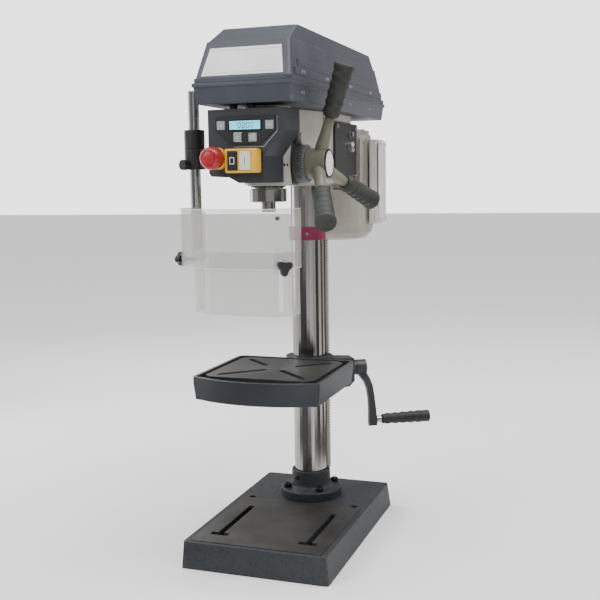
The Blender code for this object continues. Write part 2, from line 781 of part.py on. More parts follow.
def build_head():
    """Head casting: column clamp, quill boss, pinion bore and motor slides."""
    body = box("head_casting", (-HEAD_HALF_W, -0.070, HEAD_BOTTOM), (HEAD_HALF_W, HEAD_BACK, HEAD_TOP),
               "head_cast")
    plan = [(-0.064, -0.060), (-NECK_HALF_W, -0.150), (-NECK_HALF_W, QUILL_Y)]
    plan += [(NECK_HALF_W, QUILL_Y), (NECK_HALF_W, -0.150), (0.064, -0.060)]
    neck = loft("head_neck", [at_height(plan, HEAD_BOTTOM + 0.001), at_height(plan, HEAD_TOP - 0.001)])
    boss = rod("quill_boss", (0, QUILL_Y, HEAD_BOTTOM), (0, QUILL_Y, HEAD_TOP), QUILL_BOSS_R, sides=28)
    join(body, neck, boss)
    quill_bore = rod("quill_bore", (0, QUILL_Y, 0.74), (0, QUILL_Y, 0.91), QUILL_R + GAP, sides=28)
    column_bore = rod("head_column_bore", (0, 0, 0.74), (0, 0, COLUMN_TOP + 0.0005), COLUMN_R + GAP, sides=32)
    pinion_bore = rod("pinion_bore", (-0.012, FEED_Y, FEED_Z), (0.055, FEED_Y, FEED_Z), 0.0163)
    spring_bore = rod("spring_bore", (-0.055, FEED_Y, FEED_Z), (0.0, FEED_Y, FEED_Z), 0.0083, sides=16)
    idler_bore = rod("idler_bore", (0, 0, 0.8845), (0, 0, 0.91), 0.0083, sides=16)
    cut(body, quill_bore, column_bore, pinion_bore, spring_bore, idler_bore)
    hollow = box("head_hollow", (-0.052, 0.052, 0.740), (0.052, 0.090, 0.840))
    cut(body, hollow)
    for side in (-1, 1):
        name = "left" if side < 0 else "right"
        x = side * 0.045
        cut(body, rod(f"slide_bore_{name}", (x, 0.094, 0.868), (x, 0.14, 0.868), 0.0083, sides=16))
    return body


def build_side_plate():
    """Black cover plate on the head's right side."""
    return round_edges(
        box("side_plate", (HEAD_HALF_W + GAP, -0.011, 0.754), (0.0690, 0.158, 0.882), "plastic_black"),
        0.0012, 1,
    )


def build_belt_tray():
    """Lower half of the belt case: an open tray on top of the head."""
    low = round_rect(-TRAY_HALF_W, TRAY_HALF_W, TRAY_FRONT, TRAY_BACK, 0.012)
    high = round_rect(-RIM_HALF_W, RIM_HALF_W, RIM_FRONT, RIM_BACK, 0.014)
    rings = [at_height(low, TRAY_BOTTOM), at_height(high, TRAY_RIM - 0.006), at_height(high, TRAY_RIM)]
    tray = loft("belt_tray", rings, "cover_paint", close_high=False)
    thicken(tray, SHEET)
    spindle_way = rod("spindle_way", (0, QUILL_Y, 0.89), (0, QUILL_Y, 0.91), 0.020)
    idler_way = rod("idler_way", (0, 0, 0.89), (0, 0, 0.91), 0.012)
    slot = arc((0, MOTOR_Y - MOTOR_TRAVEL - 0.002), 0.013, 180.0, 360.0, 9)
    slot += arc((0, MOTOR_Y + 0.002), 0.013, 0.0, 180.0, 9)
    motor_way = loft("motor_way", [at_height(slot, 0.89), at_height(slot, 0.91)])
    return cut(tray, spindle_way, idler_way, motor_way)


def build_belt_cover():
    """Upper half of the belt case: a hinged lid with a raised roof."""
    rim = TRAY_RIM + GAP
    rings = [
        at_height(round_rect(-RIM_HALF_W, RIM_HALF_W, RIM_FRONT, RIM_BACK, 0.014), rim),
        at_height(round_rect(-RIM_HALF_W, RIM_HALF_W, RIM_FRONT, RIM_BACK, 0.014), rim + 0.009),
        at_height(round_rect(-SHOULDER_HALF_W, SHOULDER_HALF_W, SHOULDER_FRONT, SHOULDER_BACK, 0.014),
                  SHOULDER_Z),
        at_height(round_rect(-ROOF_HALF_W, ROOF_HALF_W, ROOF_FRONT, ROOF_BACK, 0.012), ROOF_Z),
    ]
    cover = loft("belt_cover", rings, "cover_paint", close_low=False)
    thicken(cover, SHEET)
    return pivot(cover, (RIM_HALF_W, 0.0, TRAY_RIM))


def build_pulley(name, centre, steps, belt_steps, bore_r, stub_low=None, stub_r=None):
    """A stepped pulley, its steps given from the lowest up, grooved where a belt runs."""
    wall = []
    for index in range(len(steps) - 1, -1, -1):
        radius = steps[index]
        low = PULLEY_LOW + index * STEP_H
        high = low + STEP_H
        groove = radius - GROOVE_DEPTH
        flange = STEP_FLANGE / 2
        wall.append((radius, high))
        if index in belt_steps:
            wall += [(radius, high - flange), (groove, high - flange)]
            wall += [(groove, low + flange), (radius, low + flange)]
        wall.append((radius, low))
    top = wall[0][1]
    if stub_low is None:
        profile = wall + [(bore_r, PULLEY_LOW), (bore_r, top)]
    else:
        profile = [(0.0, top)] + wall + [(stub_r, PULLEY_LOW), (stub_r, stub_low), (0.0, stub_low)]
    origin = Vector((*centre, 0.0))
    return turned(name, profile, origin, Z_AXIS, "aluminium", 22)


def belt_outline(front, front_r, back, back_r):
    """A loop of two arcs joined by their outer tangents, along the Y axis."""
    span = back - front
    lean = acos((front_r - back_r) / span)
    count = 15
    points = []
    for centre, radius, start, end in (
        (back, back_r, -lean, lean),
        (front, front_r, lean, 2 * pi - lean),
    ):
        angles = [start + (end - start) * i / (count - 1) for i in range(count)]
        points += [(radius * sin(a), centre + radius * cos(a)) for a in angles]
    return points


def build_belt(name, front, front_r, back, back_r, level):
    """A drive belt lying in one groove of each of its two pulleys."""
    slack = RUN
    thick = GROOVE_DEPTH - 0.0004
    inner = belt_outline(front, front_r - GROOVE_DEPTH + slack, back, back_r - GROOVE_DEPTH + slack)
    outer = belt_outline(front, front_r - GROOVE_DEPTH + slack + thick, back,
                         back_r - GROOVE_DEPTH + slack + thick)
    middle = PULLEY_LOW + (level + 0.5) * STEP_H
    return plate(name, [outer, inner], BELT_H, Matrix.Translation((0, 0, middle)), "belt_rubber")


# ---------------------------------------------------------------- quill, spindle and feed
def build_quill():
    """Sliding sleeve with rack teeth on its back."""
    low, high = 0.7425, 0.8900
    quill = rod("quill", (0, QUILL_Y, low), (0, QUILL_Y, high), QUILL_R, "bright_steel", 28)
    bore = rod("quill_inside", (0, QUILL_Y, 0.73), (0, QUILL_Y, 0.90), 0.0150, sides=24)
    teeth = rack_teeth(0.768, 0.8885, FEED_Z, BACKLASH)
    line = FEED_Y - GEAR_R
    clear = 0.012
    outline = [(line + ADDENDUM, 0.766)] + [(line + depth, z) for depth, z in teeth]
    outline += [(line + ADDENDUM, 0.895), (line + clear, 0.895), (line + clear, 0.766)]
    comb = toothed_plate("quill_comb", outline, 0.022, frame(Vector(), Y_AXIS, Z_AXIS))
    cut(quill, bore, comb)
    return pivot(quill, (0, QUILL_Y, low))


def build_quill_cap():
    """Bearing cap at the quill's lower end."""
    low, high = 0.7160, 0.7422
    profile = [
        (QUILL_CAP_R - 0.0012, high),
        (QUILL_CAP_R, high - 0.0012),
        (QUILL_CAP_R, low + 0.0015),
        (QUILL_CAP_R - 0.0015, low),
        (SPINDLE_R + GAP, low),
        (SPINDLE_R + GAP, high),
    ]
    return turned("quill_cap", profile, (0, QUILL_Y, 0), Z_AXIS, "bright_steel", 28)


def build_spindle():
    """Spindle with a tapered tool socket in its nose."""
    upper = 0.0130
    profile = [
        (0.0, SPINDLE_TOP),
        (upper - 0.001, SPINDLE_TOP),
        (upper, SPINDLE_TOP - 0.001),
        (upper, 0.760),
        (SPINDLE_R, 0.759),
        (SPINDLE_R, SPINDLE_NOSE + 0.0015),
        (SPINDLE_R - 0.0015, SPINDLE_NOSE),
        (TAPER_MOUTH_R, SPINDLE_NOSE),
        (TAPER_END_R, SPINDLE_NOSE + TAPER_DEPTH),
        (0.0, SPINDLE_NOSE + TAPER_DEPTH),
    ]
    return turned("spindle", profile, (0, QUILL_Y, 0), Z_AXIS, "bright_steel", 22)


def build_pinion():
    """Feed pinion on its cross shaft."""
    centre = Vector((0, FEED_Y, FEED_Z))
    gear = toothed_plate("feed_pinion", gear_outline(GEAR_TEETH, BACKLASH), 0.019,
                 frame(centre, -Y_AXIS, -Z_AXIS), "bright_steel")
    journal = rod("pinion_journal", (0.0175, FEED_Y, FEED_Z), (0.0400, FEED_Y, FEED_Z), 0.0158)
    shaft = rod("pinion_shaft", (-0.0600, FEED_Y, FEED_Z), (0.1000, FEED_Y, FEED_Z), 0.0079, sides=20)
    return join(gear, journal, shaft)


def build_spring_cap():
    """Round cup on the head's left side that holds the return spring."""
    cap_r, wall, depth = 0.031, 0.0025, 0.026
    profile = [
        (0.0, depth),
        (cap_r - 0.004, depth),
        (cap_r, depth - 0.004),
        (cap_r, 0.0),
        (cap_r - wall, 0.0),
        (cap_r - wall, depth - wall),
        (0.0, depth - wall),
    ]
    origin = (-NECK_HALF_W - GAP, FEED_Y, FEED_Z)
    return cut(turned("spring_cap", profile, origin, -X_AXIS, "head_cast", 24), boss_clearance("cap_clear"))


def build_return_spring():
    """Flat spiral spring between the cup and the pinion shaft."""
    turns, per_turn = 3, 12
    first, last = 0.0105, 0.0255
    total = turns * per_turn
    curve = bpy.data.curves.new("return_spring", "CURVE")
    curve.dimensions = "2D"
    curve.fill_mode = "NONE"
    curve.extrude = 0.005
    spline = curve.splines.new("POLY")
    spline.points.add(total)
    for index, point in enumerate(spline.points):
        radius = first + (last - first) * index / total
        angle = 2 * pi * index / per_turn
        point.co = (radius * cos(angle), radius * sin(angle), 0.0, 1.0)
    obj = add_object("return_spring", curve, "bright_steel")
    obj.matrix_world = frame(Vector((-NECK_HALF_W - 0.012, FEED_Y, FEED_Z)), Y_AXIS, Z_AXIS)
    spring = to_mesh(obj)
    wall = thicken(spring, 0.0008)
    wall.modifiers["Wall"].offset = 0.0
    return wall


def build_bezel():
    """Fixed black ring behind the depth scale."""
    profile = [(0.039, 0.0072), (0.041, 0.0052), (0.041, 0.0), (0.0175, 0.0), (0.0175, 0.0072)]
    bezel = turned("depth_bezel", profile, (NECK_HALF_W + GAP, FEED_Y, FEED_Z), X_AXIS, "plastic_black", 26)
    return cut(bezel, boss_clearance("bezel_clear"))


def build_depth_ring():
    """Scale ring that sets the drilling depth."""
    profile = [(0.0355, 0.0225), (0.0375, 0.0205), (0.0375, 0.0), (0.0083, 0.0), (0.0083, 0.0225)]
    return turned("depth_ring", profile, (0.0484, FEED_Y, FEED_Z), X_AXIS, "plastic_black", 26)


def spoke_direction(index):
    """The way spoke number index points."""
    angle = SPOKE_FIRST + 2 * pi * index / SPOKE_COUNT
    flat = cos(SPOKE_TILT)
    return Vector((sin(SPOKE_TILT), cos(angle) * flat, sin(angle) * flat))


def build_hub():
    """Feed hub with a socket for each spoke."""
    profile = [(0.0, 0.0315), (0.0280, 0.0315), (0.0300, 0.0295), (0.0300, 0.0), (0.0, 0.0)]
    hub = turned("feed_hub", profile, (0.0713, FEED_Y, FEED_Z), X_AXIS, "head_cast", 24)
    centre = Vector((SPOKE_X, FEED_Y, FEED_Z))
    for index in range(SPOKE_COUNT):
        way = spoke_direction(index)
        start = centre + way * 0.006
        socket = rod(f"hub_socket_{index}", start, centre + way * 0.040, 0.0135, sides=20, end_radius=0.0120)
        bore_start = centre + way * (SPOKE_ROOT - GAP)
        bore = rod(f"spoke_way_{index}", bore_start, centre + way * 0.060, SPOKE_R + GAP, sides=16)
        cut(join(hub, socket), bore)
    cut(hub, rod("hub_bore", (0.060, FEED_Y, FEED_Z), (0.1003, FEED_Y, FEED_Z), 0.0082, sides=20))
    return pivot(hub, (0.0713, FEED_Y, FEED_Z))


def build_spokes():
    """The three spokes and their grips."""
    centre = Vector((SPOKE_X, FEED_Y, FEED_Z))
    length = GRIP_END - GRIP_START
    depth = 0.060
    for index in range(SPOKE_COUNT):
        way = spoke_direction(index)
        tip = centre + way * (GRIP_START + depth - 2 * GAP)
        bar = rod(f"spoke_{index + 1}", centre + way * SPOKE_ROOT, tip, SPOKE_R, "head_cast", 16)
        pivot(bar, centre)
        profile = grip_profile(length, 0.0125, 0.0170, 0.0205, 3, SPOKE_R + GAP, depth)
        turned(f"spoke_grip_{index + 1}", profile, centre + way * GRIP_START, way, "rubber_black", 16)


# ---------------------------------------------------------------- motor
def build_motor():
    """Motor shell with upright cooling fins and a flat upper end shield."""
    outline = []
    for fin in range(MOTOR_FINS):
        middle = 2 * pi * fin / MOTOR_FINS
        thin, wide = 0.028, 0.070
        for angle, radius in ((-wide, MOTOR_R), (-thin, MOTOR_FIN_R), (thin, MOTOR_FIN_R), (wide, MOTOR_R)):
            outline.append((radius * cos(middle + angle), radius * sin(middle + angle)))
    low, high = MOTOR_LOW + 0.0005, 0.8515
    place = Matrix.Translation((0, MOTOR_Y, (low + high) / 2))
    motor = toothed_plate("motor_body", outline, high - low, place, "motor_paint")
    shield = rod("end_shield", (0, MOTOR_Y, 0.845), (0, MOTOR_Y, MOTOR_HIGH), 0.081, sides=26)
    bore = rod("shaft_way", (0, MOTOR_Y, 0.800), (0, MOTOR_Y, 0.870), 0.0100, sides=16)
    return cut(join(motor, shield), bore)


def build_cowl():
    """Fan cowl under the motor, open at its top and vented at its bottom."""
    high = MOTOR_LOW
    outer = arc((MOTOR_FIN_R - 0.034, COWL_LOW + 0.034), 0.034, 0.0, -90.0, 4)
    wall = 0.0022
    inner = arc((MOTOR_FIN_R - 0.034, COWL_LOW + 0.034), 0.034 - wall, -90.0, 0.0, 4)
    vent = 0.024
    profile = [(MOTOR_FIN_R, high)] + outer + [(vent, COWL_LOW), (vent, COWL_LOW + wall)]
    profile += inner + [(MOTOR_FIN_R - wall, high)]
    return turned("fan_cowl", profile, (0, MOTOR_Y, 0), Z_AXIS, "motor_paint", 28)


def build_terminal_box():
    """Wiring box on the motor's right side."""
    low = round_rect(0.0868, 0.1100, 0.188, 0.258, 0.004, 3)
    high = round_rect(0.0868, 0.1070, 0.192, 0.254, 0.004, 3)
    rings = [at_height(low, 0.655), at_height(low, 0.690), at_height(high, 0.698), at_height(high, 0.850)]
    return loft("terminal_box", rings, "motor_paint")


def build_motor_plate():
    """Plate that carries the motor, with the two rods it slides on."""
    low, high = MOTOR_HIGH + GAP, 0.8740
    mount = box("motor_plate", (-0.063, 0.150, low), (0.063, 0.285, high), "head_cast")
    shaft_hole = rod("plate_hole", (0, MOTOR_Y, 0.85), (0, MOTOR_Y, 0.88), 0.020)
    for side in (-1, 1):
        name = "left" if side < 0 else "right"
        join(mount, rod(f"slide_rod_{name}", (side * 0.045, 0.104, 0.868), (side * 0.045, 0.1555, 0.868),
                        0.0080, sides=16))
    return pivot(cut(mount, shaft_hole), (0, 0.150, 0.868))


def build_tension_knob():
    """Round knob on the side plate that locks the motor's slide."""
    profile = [
        (0.0, 0.0120), (0.0045, 0.0120), (0.0045, 0.0100), (0.0105, 0.0100), (0.0120, 0.0085),
        (0.0120, 0.0), (0.0, 0.0),
    ]
    return turned("tension_knob", profile, (0.0690 + GAP, 0.094, 0.830), X_AXIS, "aluminium", 24)


# ---------------------------------------------------------------- control panel
FRONT_PLACE = frame(Vector((0, PANEL_FRONT, 0)), X_AXIS, Z_AXIS)
KEYS = {
    "key_speed_up": (-0.0498, 0.8595),
    "key_speed_down": (0.0463, 0.8585),
    "key_light": (-0.0170, 0.8375),
    "key_menu": (0.0130, 0.8365),
}
KEY_HALF = 0.0080
KEY_TRAVEL = 0.0010


def build_control_housing():
    """Moulded housing in front of the quill boss, open at its back."""
    half, top = 0.077, 0.8890
    front = [(-half, top), (-half, 0.772), (-0.072, 0.766), (-0.036, 0.764), (-0.017, 0.7535)]
    front += [(0.033, 0.7535), (0.033, 0.802), (half, 0.849), (half, top)]
    flare = {(0.033, 0.7535): 0.010, (0.033, 0.802): 0.010}
    back = [(x + flare.get((x, z), 0.0), z) for x, z in front]
    rings = [[(x, PANEL_FRONT, z) for x, z in front], [(x, PANEL_BACK, z) for x, z in back]]
    shell = loft("control_housing", rings, "housing_plastic", close_high=False)
    thicken(shell, 0.0030)
    for key, (x, z) in KEYS.items():
        grow = KEY_HALF + 0.0006
        cut(shell, box(f"{key}_way", (x - grow, -0.350, z - grow), (x + grow, -0.330, z + grow)))
    boss_way = boss_clearance("housing_boss_way")
    arm_way = box("housing_arm_way", (-0.085, ROD_Y - 0.0125, 0.7815), (-0.068, -0.250, 0.8215))
    cut(shell, boss_way, arm_way)
    cut(shell, rod("estop_way", (ESTOP_X, -0.350, ESTOP_Z), (ESTOP_X, -0.330, ESTOP_Z), 0.0090))
    cut(shell, box("switch_way", (-0.026, -0.350, 0.779), (0.015, -0.330, 0.809)))
    return shell


def build_keypad():
    """Membrane panel with a hole for each key."""
    outline = [(-0.061, 0.876), (-0.061, 0.850), (-0.035, 0.8245), (0.028, 0.8240), (0.057, 0.850),
               (0.057, 0.876)]
    panel = plate("keypad_panel", [outline], 0.0014, FRONT_PLACE, "plastic_black")
    panel.location.y -= 0.0007 + GAP
    for key, (x, z) in KEYS.items():
        grow = KEY_HALF + 0.0003
        cut(panel, box(f"{key}_window", (x - grow, -0.350, z - grow), (x + grow, -0.330, z + grow)))
    return panel


def build_keys():
    """Four keys, each standing a little out of the panel."""
    for key, (x, z) in KEYS.items():
        low = (x - KEY_HALF, PANEL_FRONT - 0.0033, z - KEY_HALF)
        high = (x + KEY_HALF, PANEL_FRONT + 0.0015, z + KEY_HALF)
        body = box(key, low, high, "key_grey")
        pivot(round_edges(body, 0.0008, 1), (x, PANEL_FRONT, z))


def build_estop():
    """Emergency stop: yellow base ring and red mushroom button."""
    profile = [(0.0175, 0.0120), (0.0205, 0.0090), (0.0205, 0.0), (0.0095, 0.0), (0.0095, 0.0120)]
    turned("estop_base", profile, (ESTOP_X, PANEL_FRONT - GAP, ESTOP_Z), -Y_AXIS, "switch_yellow", 22)
    button = [
        (0.0, 0.0500), (0.0090, 0.0494), (0.0165, 0.0470), (0.0205, 0.0425), (0.0213, 0.0370),
        (0.0195, 0.0325), (0.0130, 0.0300), (0.0085, 0.0290), (0.0085, -0.0015), (0.0, -0.0015),
    ]
    turned("estop_button", button, (ESTOP_X, PANEL_FRONT, ESTOP_Z), -Y_AXIS, "button_red", 22)


SWITCH_BUTTONS = {
    "stop_button": (-0.0285, -0.0095, "plastic_black"),
    "start_button": (-0.0050, 0.0170, "button_white"),
}


def build_switch():
    """Start and stop switch: yellow frame with two push plates."""
    low, high = 0.7720, 0.8160
    frame_box = box("switch_box", (-0.0350, SWITCH_FRONT, low), (0.0290, PANEL_FRONT - GAP, high),
                    "switch_yellow")
    round_edges(frame_box, 0.0030, 2)
    for name, (left, right, colour) in SWITCH_BUTTONS.items():
        z_low, z_high = 0.7770, 0.8110
        cut(frame_box, box(f"{name}_way", (left - 0.0005, -0.375, z_low - 0.0005),
                           (right + 0.0005, -0.350, z_high + 0.0005)))
        button = box(name, (left, SWITCH_FRONT - 0.0020, z_low), (right, -0.3550, z_high), colour)
        pivot(round_edges(button, 0.0012, 1), ((left + right) / 2, SWITCH_FRONT, (z_low + z_high) / 2))
    return frame_box


# ---------------------------------------------------------------- guard
def build_guard_holder():
    """Fixed arm with the lower half of the rod's sleeve."""
    low, high = 0.7810, 0.8210
    sleeve = rod("guard_holder", (ROD_X, ROD_Y, low), (ROD_X, ROD_Y, high), 0.0200, "plastic_black", 22)
    arm = box("holder_arm", (ROD_X + 0.008, ROD_Y - 0.011, 0.7830), (-0.030, ROD_Y + 0.013, 0.8200))
    clear = boss_clearance("holder_clear")
    bore = rod("holder_bore", (ROD_X, ROD_Y, 0.77), (ROD_X, ROD_Y, 0.83), ROD_R + GAP)
    screw_way = rod("holder_screw_way", (ROD_X, ROD_Y, 0.7900), (ROD_X - 0.012, ROD_Y - 0.027, 0.7900),
                    0.0033, sides=12)
    return cut(join(sleeve, arm), clear, bore, screw_way)


def build_holder_knob():
    """Clamp knob on the front of the rod's holder."""
    way = Vector((-0.012, -0.027, 0.0)).normalized()
    start = Vector((ROD_X, ROD_Y, 0.7900)) + way * (ROD_R + 0.0006)
    stem = rod("holder_knob", start, start + way * 0.020, 0.0030, "plastic_black", 12)
    head = rod("holder_knob_head", start + way * 0.0105, start + way * 0.022, 0.0100, sides=16)
    return pivot(join(stem, head), start)


def build_guard_sleeve():
    """Upper half of the sleeve, which turns with the rod."""
    low, high = 0.8213, 0.8570
    bore = ROD_R + GAP
    profile = [(0.0188, high), (0.0200, high - 0.0012), (0.0200, low), (bore, low), (bore, high)]
    return turned("guard_sleeve", profile, (ROD_X, ROD_Y, 0), Z_AXIS, "plastic_black", 22)


def build_guard_rod():
    """Upright rod that carries the guard."""
    profile = [
        (0.0, ROD_TOP), (ROD_R - 0.0015, ROD_TOP), (ROD_R, ROD_TOP - 0.0015),
        (ROD_R, ROD_LOW), (0.0, ROD_LOW),
    ]
    return turned("guard_rod", profile, (ROD_X, ROD_Y, 0), Z_AXIS, "bright_steel", 24)


GUARD_PATH = [
    (-0.152, -0.262), (-0.150, -0.314), (-0.133, -0.351), (-0.060, -0.389), (0.068, -0.389),
    (0.0905, -0.367), (0.096, -0.318),
]
SHIELD_PATH = [
    (-0.1205, -0.284), (-0.1165, -0.314), (-0.1030, -0.359), (-0.060, -0.3850), (0.0665, -0.3850),
    (0.0868, -0.3650), (0.0920, -0.318),
]
RIGHT_NORMAL = Vector((0.7, -0.716, 0.0)).normalized()
RIGHT_KNOB = Vector((0.0795, -0.3780, GUARD_KNOB_Z))
LEFT_KNOB_Y = -0.296


def bent_sheet(name, path, low, high):
    """A folded clear sheet standing on a plan path, with its wall on the inner side."""
    bm = bmesh.new()
    rows = [[bm.verts.new((x, y, z)) for x, y in path] for z in (low, high)]
    for i in range(len(path) - 1):
        bm.faces.new((rows[0][i], rows[0][i + 1], rows[1][i + 1], rows[1][i]))
    mesh = bpy.data.meshes.new(name)
    bm.to_mesh(mesh)
    bm.free()
    return thicken(add_object(name, mesh, "clear_plastic"), SHIELD_SHEET)


def build_guard_upper():
    """Fixed half of the guard, with the block that grips the rod."""
    sheet = bent_sheet("guard_upper", GUARD_PATH, GUARD_LOW, GUARD_TOP)
    block = box("guard_block", (-0.1515, -0.2915, ROD_LOW + 0.006), (-0.1232, -0.2615, 0.700))
    bore = rod("guard_bore", (ROD_X, ROD_Y, 0.590), (ROD_X, ROD_Y, 0.72), ROD_R + GAP)
    left_way = rod("left_knob_way", (-0.17, LEFT_KNOB_Y, GUARD_KNOB_Z + 0.006),
                   (-0.11, LEFT_KNOB_Y, GUARD_KNOB_Z + 0.006), 0.0036, sides=12)
    right_way = rod("right_knob_way", RIGHT_KNOB - RIGHT_NORMAL * 0.02, RIGHT_KNOB + RIGHT_NORMAL * 0.02,
                    0.0036, sides=12)
    return cut(join(sheet, block), bore, left_way, right_way)


def build_guard_lower():
    """Sliding half of the guard, with a slot for each clamp knob."""
    sheet = bent_sheet("guard_lower", SHIELD_PATH, SHIELD_LOW, SHIELD_TOP)
    slot = arc((0.0, 0.0125), 0.0042, 180.0, 360.0, 7) + arc((0.0, 0.1000), 0.0042, 0.0, 180.0, 7)
    across = Z_AXIS.cross(RIGHT_NORMAL)
    right = plate("right_slot", [slot], 0.02, frame(RIGHT_KNOB - Z_AXIS * (GUARD_KNOB_Z - SHIELD_LOW)
                                                    - RIGHT_NORMAL * 0.003, across, Z_AXIS))
    left_at = Vector((-0.1225, LEFT_KNOB_Y, SHIELD_LOW))
    left = plate("left_slot", [slot], 0.02, frame(left_at, Y_AXIS, Z_AXIS))
    return cut(sheet, right, left)


def knob_outline(radius):
    """A three-lobed outline."""
    count = 18
    angles = [2 * pi * i / count for i in range(count)]
    return [((radius * (0.78 + 0.22 * cos(3 * a))) * cos(a), (radius * (0.78 + 0.22 * cos(3 * a))) * sin(a))
            for a in angles]


def build_clamp_knob(name, seat, normal, reach, stand, turn):
    """A three-lobed knob with its threaded stem through the guard."""
    normal = Vector(normal)
    up = (Z_AXIS * cos(turn) + normal.cross(Z_AXIS) * sin(turn)).normalized()
    across = up.cross(normal)
    knob = plate(name, [knob_outline(0.0160)], 0.0090, frame(seat + normal * (stand + 0.0110), across, up),
                 "plastic_black")
    boss = rod(f"{name}_boss", seat + normal * stand, seat + normal * (stand + 0.010), 0.0075, sides=16)
    stem = rod(f"{name}_stem", seat - normal * reach, seat + normal * (stand + 0.010), 0.0030, sides=12)
    return pivot(join(knob, boss, stem), seat)


# ---------------------------------------------------------------- assembly
build_base()
build_column()
build_flange()
build_rack()
build_rack_collar()
build_bracket()
build_worm()
build_lift_gear()
build_crank_arm()
build_crank_grip()
build_lock_lever()
build_table()
build_head()
build_side_plate()
build_belt_tray()
build_belt_cover()
build_pulley("spindle_pulley", (0.0, QUILL_Y), SPINDLE_STEPS, (FRONT_BELT_STEP,), 0.0134)
build_pulley("idler_pulley", (0.0, 0.0), IDLER_STEPS, (FRONT_BELT_STEP, REAR_BELT_STEP), 0.0, 0.8850, 0.0080)
build_pulley("motor_pulley", (0.0, MOTOR_Y), MOTOR_STEPS, (REAR_BELT_STEP,), 0.0, 0.8350, 0.0095)
build_belt("front_belt", QUILL_Y, SPINDLE_STEPS[FRONT_BELT_STEP], 0.0, IDLER_STEPS[FRONT_BELT_STEP],
           FRONT_BELT_STEP)
build_belt("rear_belt", 0.0, IDLER_STEPS[REAR_BELT_STEP], MOTOR_Y, MOTOR_STEPS[REAR_BELT_STEP],
           REAR_BELT_STEP)
build_quill()
build_quill_cap()
build_spindle()
build_pinion()
build_spring_cap()
build_return_spring()
build_bezel()
build_depth_ring()
build_hub()
build_spokes()
build_motor()
build_cowl()
build_terminal_box()
build_motor_plate()
build_tension_knob()
build_control_housing()
build_keypad()
build_keys()
build_estop()
build_switch()
build_guard_holder()
build_holder_knob()
build_guard_sleeve()
build_guard_rod()
build_guard_upper()
build_guard_lower()
build_clamp_knob("guard_knob_left", Vector((-0.1515, LEFT_KNOB_Y, GUARD_KNOB_Z + 0.006)), -X_AXIS, 0.036,
                 0.0010, 0.0)
build_clamp_knob("guard_knob_right", RIGHT_KNOB, RIGHT_NORMAL, 0.010, 0.0010, radians(25.0))

# The pieces of each moving group that need a shared pivot hang on an empty on the joint's axis.
MOVING_GROUPS = {
    "feed_axis": ((0, FEED_Y, FEED_Z), ["feed_pinion", "feed_hub", "depth_ring", "spoke_1", "spoke_2",
                                        "spoke_3", "spoke_grip_1", "spoke_grip_2", "spoke_grip_3"]),
    "quill_axis": ((0, QUILL_Y, FEED_Z), ["quill", "quill_cap", "spindle"]),
    "crank_axis": (side_point(0.100, 0, WORM_Z), ["lift_worm", "crank_arm", "crank_grip"]),
    "motor_axis": ((0, MOTOR_Y, MOTOR_LOW), ["motor_body", "fan_cowl", "terminal_box", "motor_plate",
                                             "motor_pulley"]),
    "guard_axis": ((ROD_X, ROD_Y, ROD_LOW), ["guard_sleeve", "guard_rod", "guard_upper", "guard_lower",
                                             "guard_knob_left", "guard_knob_right"]),
}
for axis_name, (point, members) in MOVING_GROUPS.items():
    hang_on_axis(axis_name, point, members)
for piece in parts.objects:
    smooth(piece)
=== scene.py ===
# %% [markdown]
# # A bench drill press
# The frame is the machine's engineering model: every casting, shaft and lever at its true size, on the
# body that it moves with. This notebook dresses it. First the finishes are mixed, then the castings get
# rounded edges, and then the small pieces that a hand would notice are modelled.

import json
from math import cos, pi, radians, sin

import bmesh
import bpy
from mathutils import Matrix, Vector
from mathutils.bvhtree import BVHTree


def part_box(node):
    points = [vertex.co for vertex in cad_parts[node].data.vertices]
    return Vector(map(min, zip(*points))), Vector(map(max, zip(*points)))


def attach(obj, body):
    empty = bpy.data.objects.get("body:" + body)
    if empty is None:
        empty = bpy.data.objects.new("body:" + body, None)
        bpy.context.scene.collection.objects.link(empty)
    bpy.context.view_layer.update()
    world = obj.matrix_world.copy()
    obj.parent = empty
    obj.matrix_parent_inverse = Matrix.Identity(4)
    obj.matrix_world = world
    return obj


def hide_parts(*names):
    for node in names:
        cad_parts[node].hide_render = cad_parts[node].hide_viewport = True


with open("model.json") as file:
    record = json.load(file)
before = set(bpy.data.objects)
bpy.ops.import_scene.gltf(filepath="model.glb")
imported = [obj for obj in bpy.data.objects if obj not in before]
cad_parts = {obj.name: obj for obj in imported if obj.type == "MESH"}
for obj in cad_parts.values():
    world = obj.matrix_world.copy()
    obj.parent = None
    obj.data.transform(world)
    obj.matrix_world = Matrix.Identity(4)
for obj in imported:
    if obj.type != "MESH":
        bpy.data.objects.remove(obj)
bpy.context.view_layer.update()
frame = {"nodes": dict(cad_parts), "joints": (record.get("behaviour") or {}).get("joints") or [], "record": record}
JOINTS = {joint["name"]: joint for joint in frame["joints"]}
BODY_OF = {node: body for body, nodes in frame["record"]["behaviour"]["bodies"].items() for node in nodes}

# %% [markdown]
# ## Hands
# A few small helpers do what a modeller's hands do: select one thing, place it, round it, smooth it.
# Everything is deselected before each step, because an operator works on all that is selected.

# %% Selecting, settling and rounding
X, Y, Z = Vector((1, 0, 0)), Vector((0, 1, 0)), Vector((0, 0, 1))
WELD = 0.000002
SMOOTH_BELOW = 40.0
FLAT = 0.9


def clear_selection():
    if bpy.context.mode != "OBJECT":
        bpy.ops.object.mode_set(mode="OBJECT")
    bpy.ops.object.select_all(action="DESELECT")


def only(obj):
    clear_selection()
    obj.select_set(True)
    bpy.context.view_layer.objects.active = obj
    return obj


def added(name, operator, **settings):
    """Add one object with an operator, and name it."""
    clear_selection()
    operator(**settings)
    bpy.context.object.name = name
    return bpy.context.object


def linked(name, data):
    """A new object with this data, in the scene."""
    obj = bpy.data.objects.new(name, data)
    bpy.context.scene.collection.objects.link(obj)
    return obj


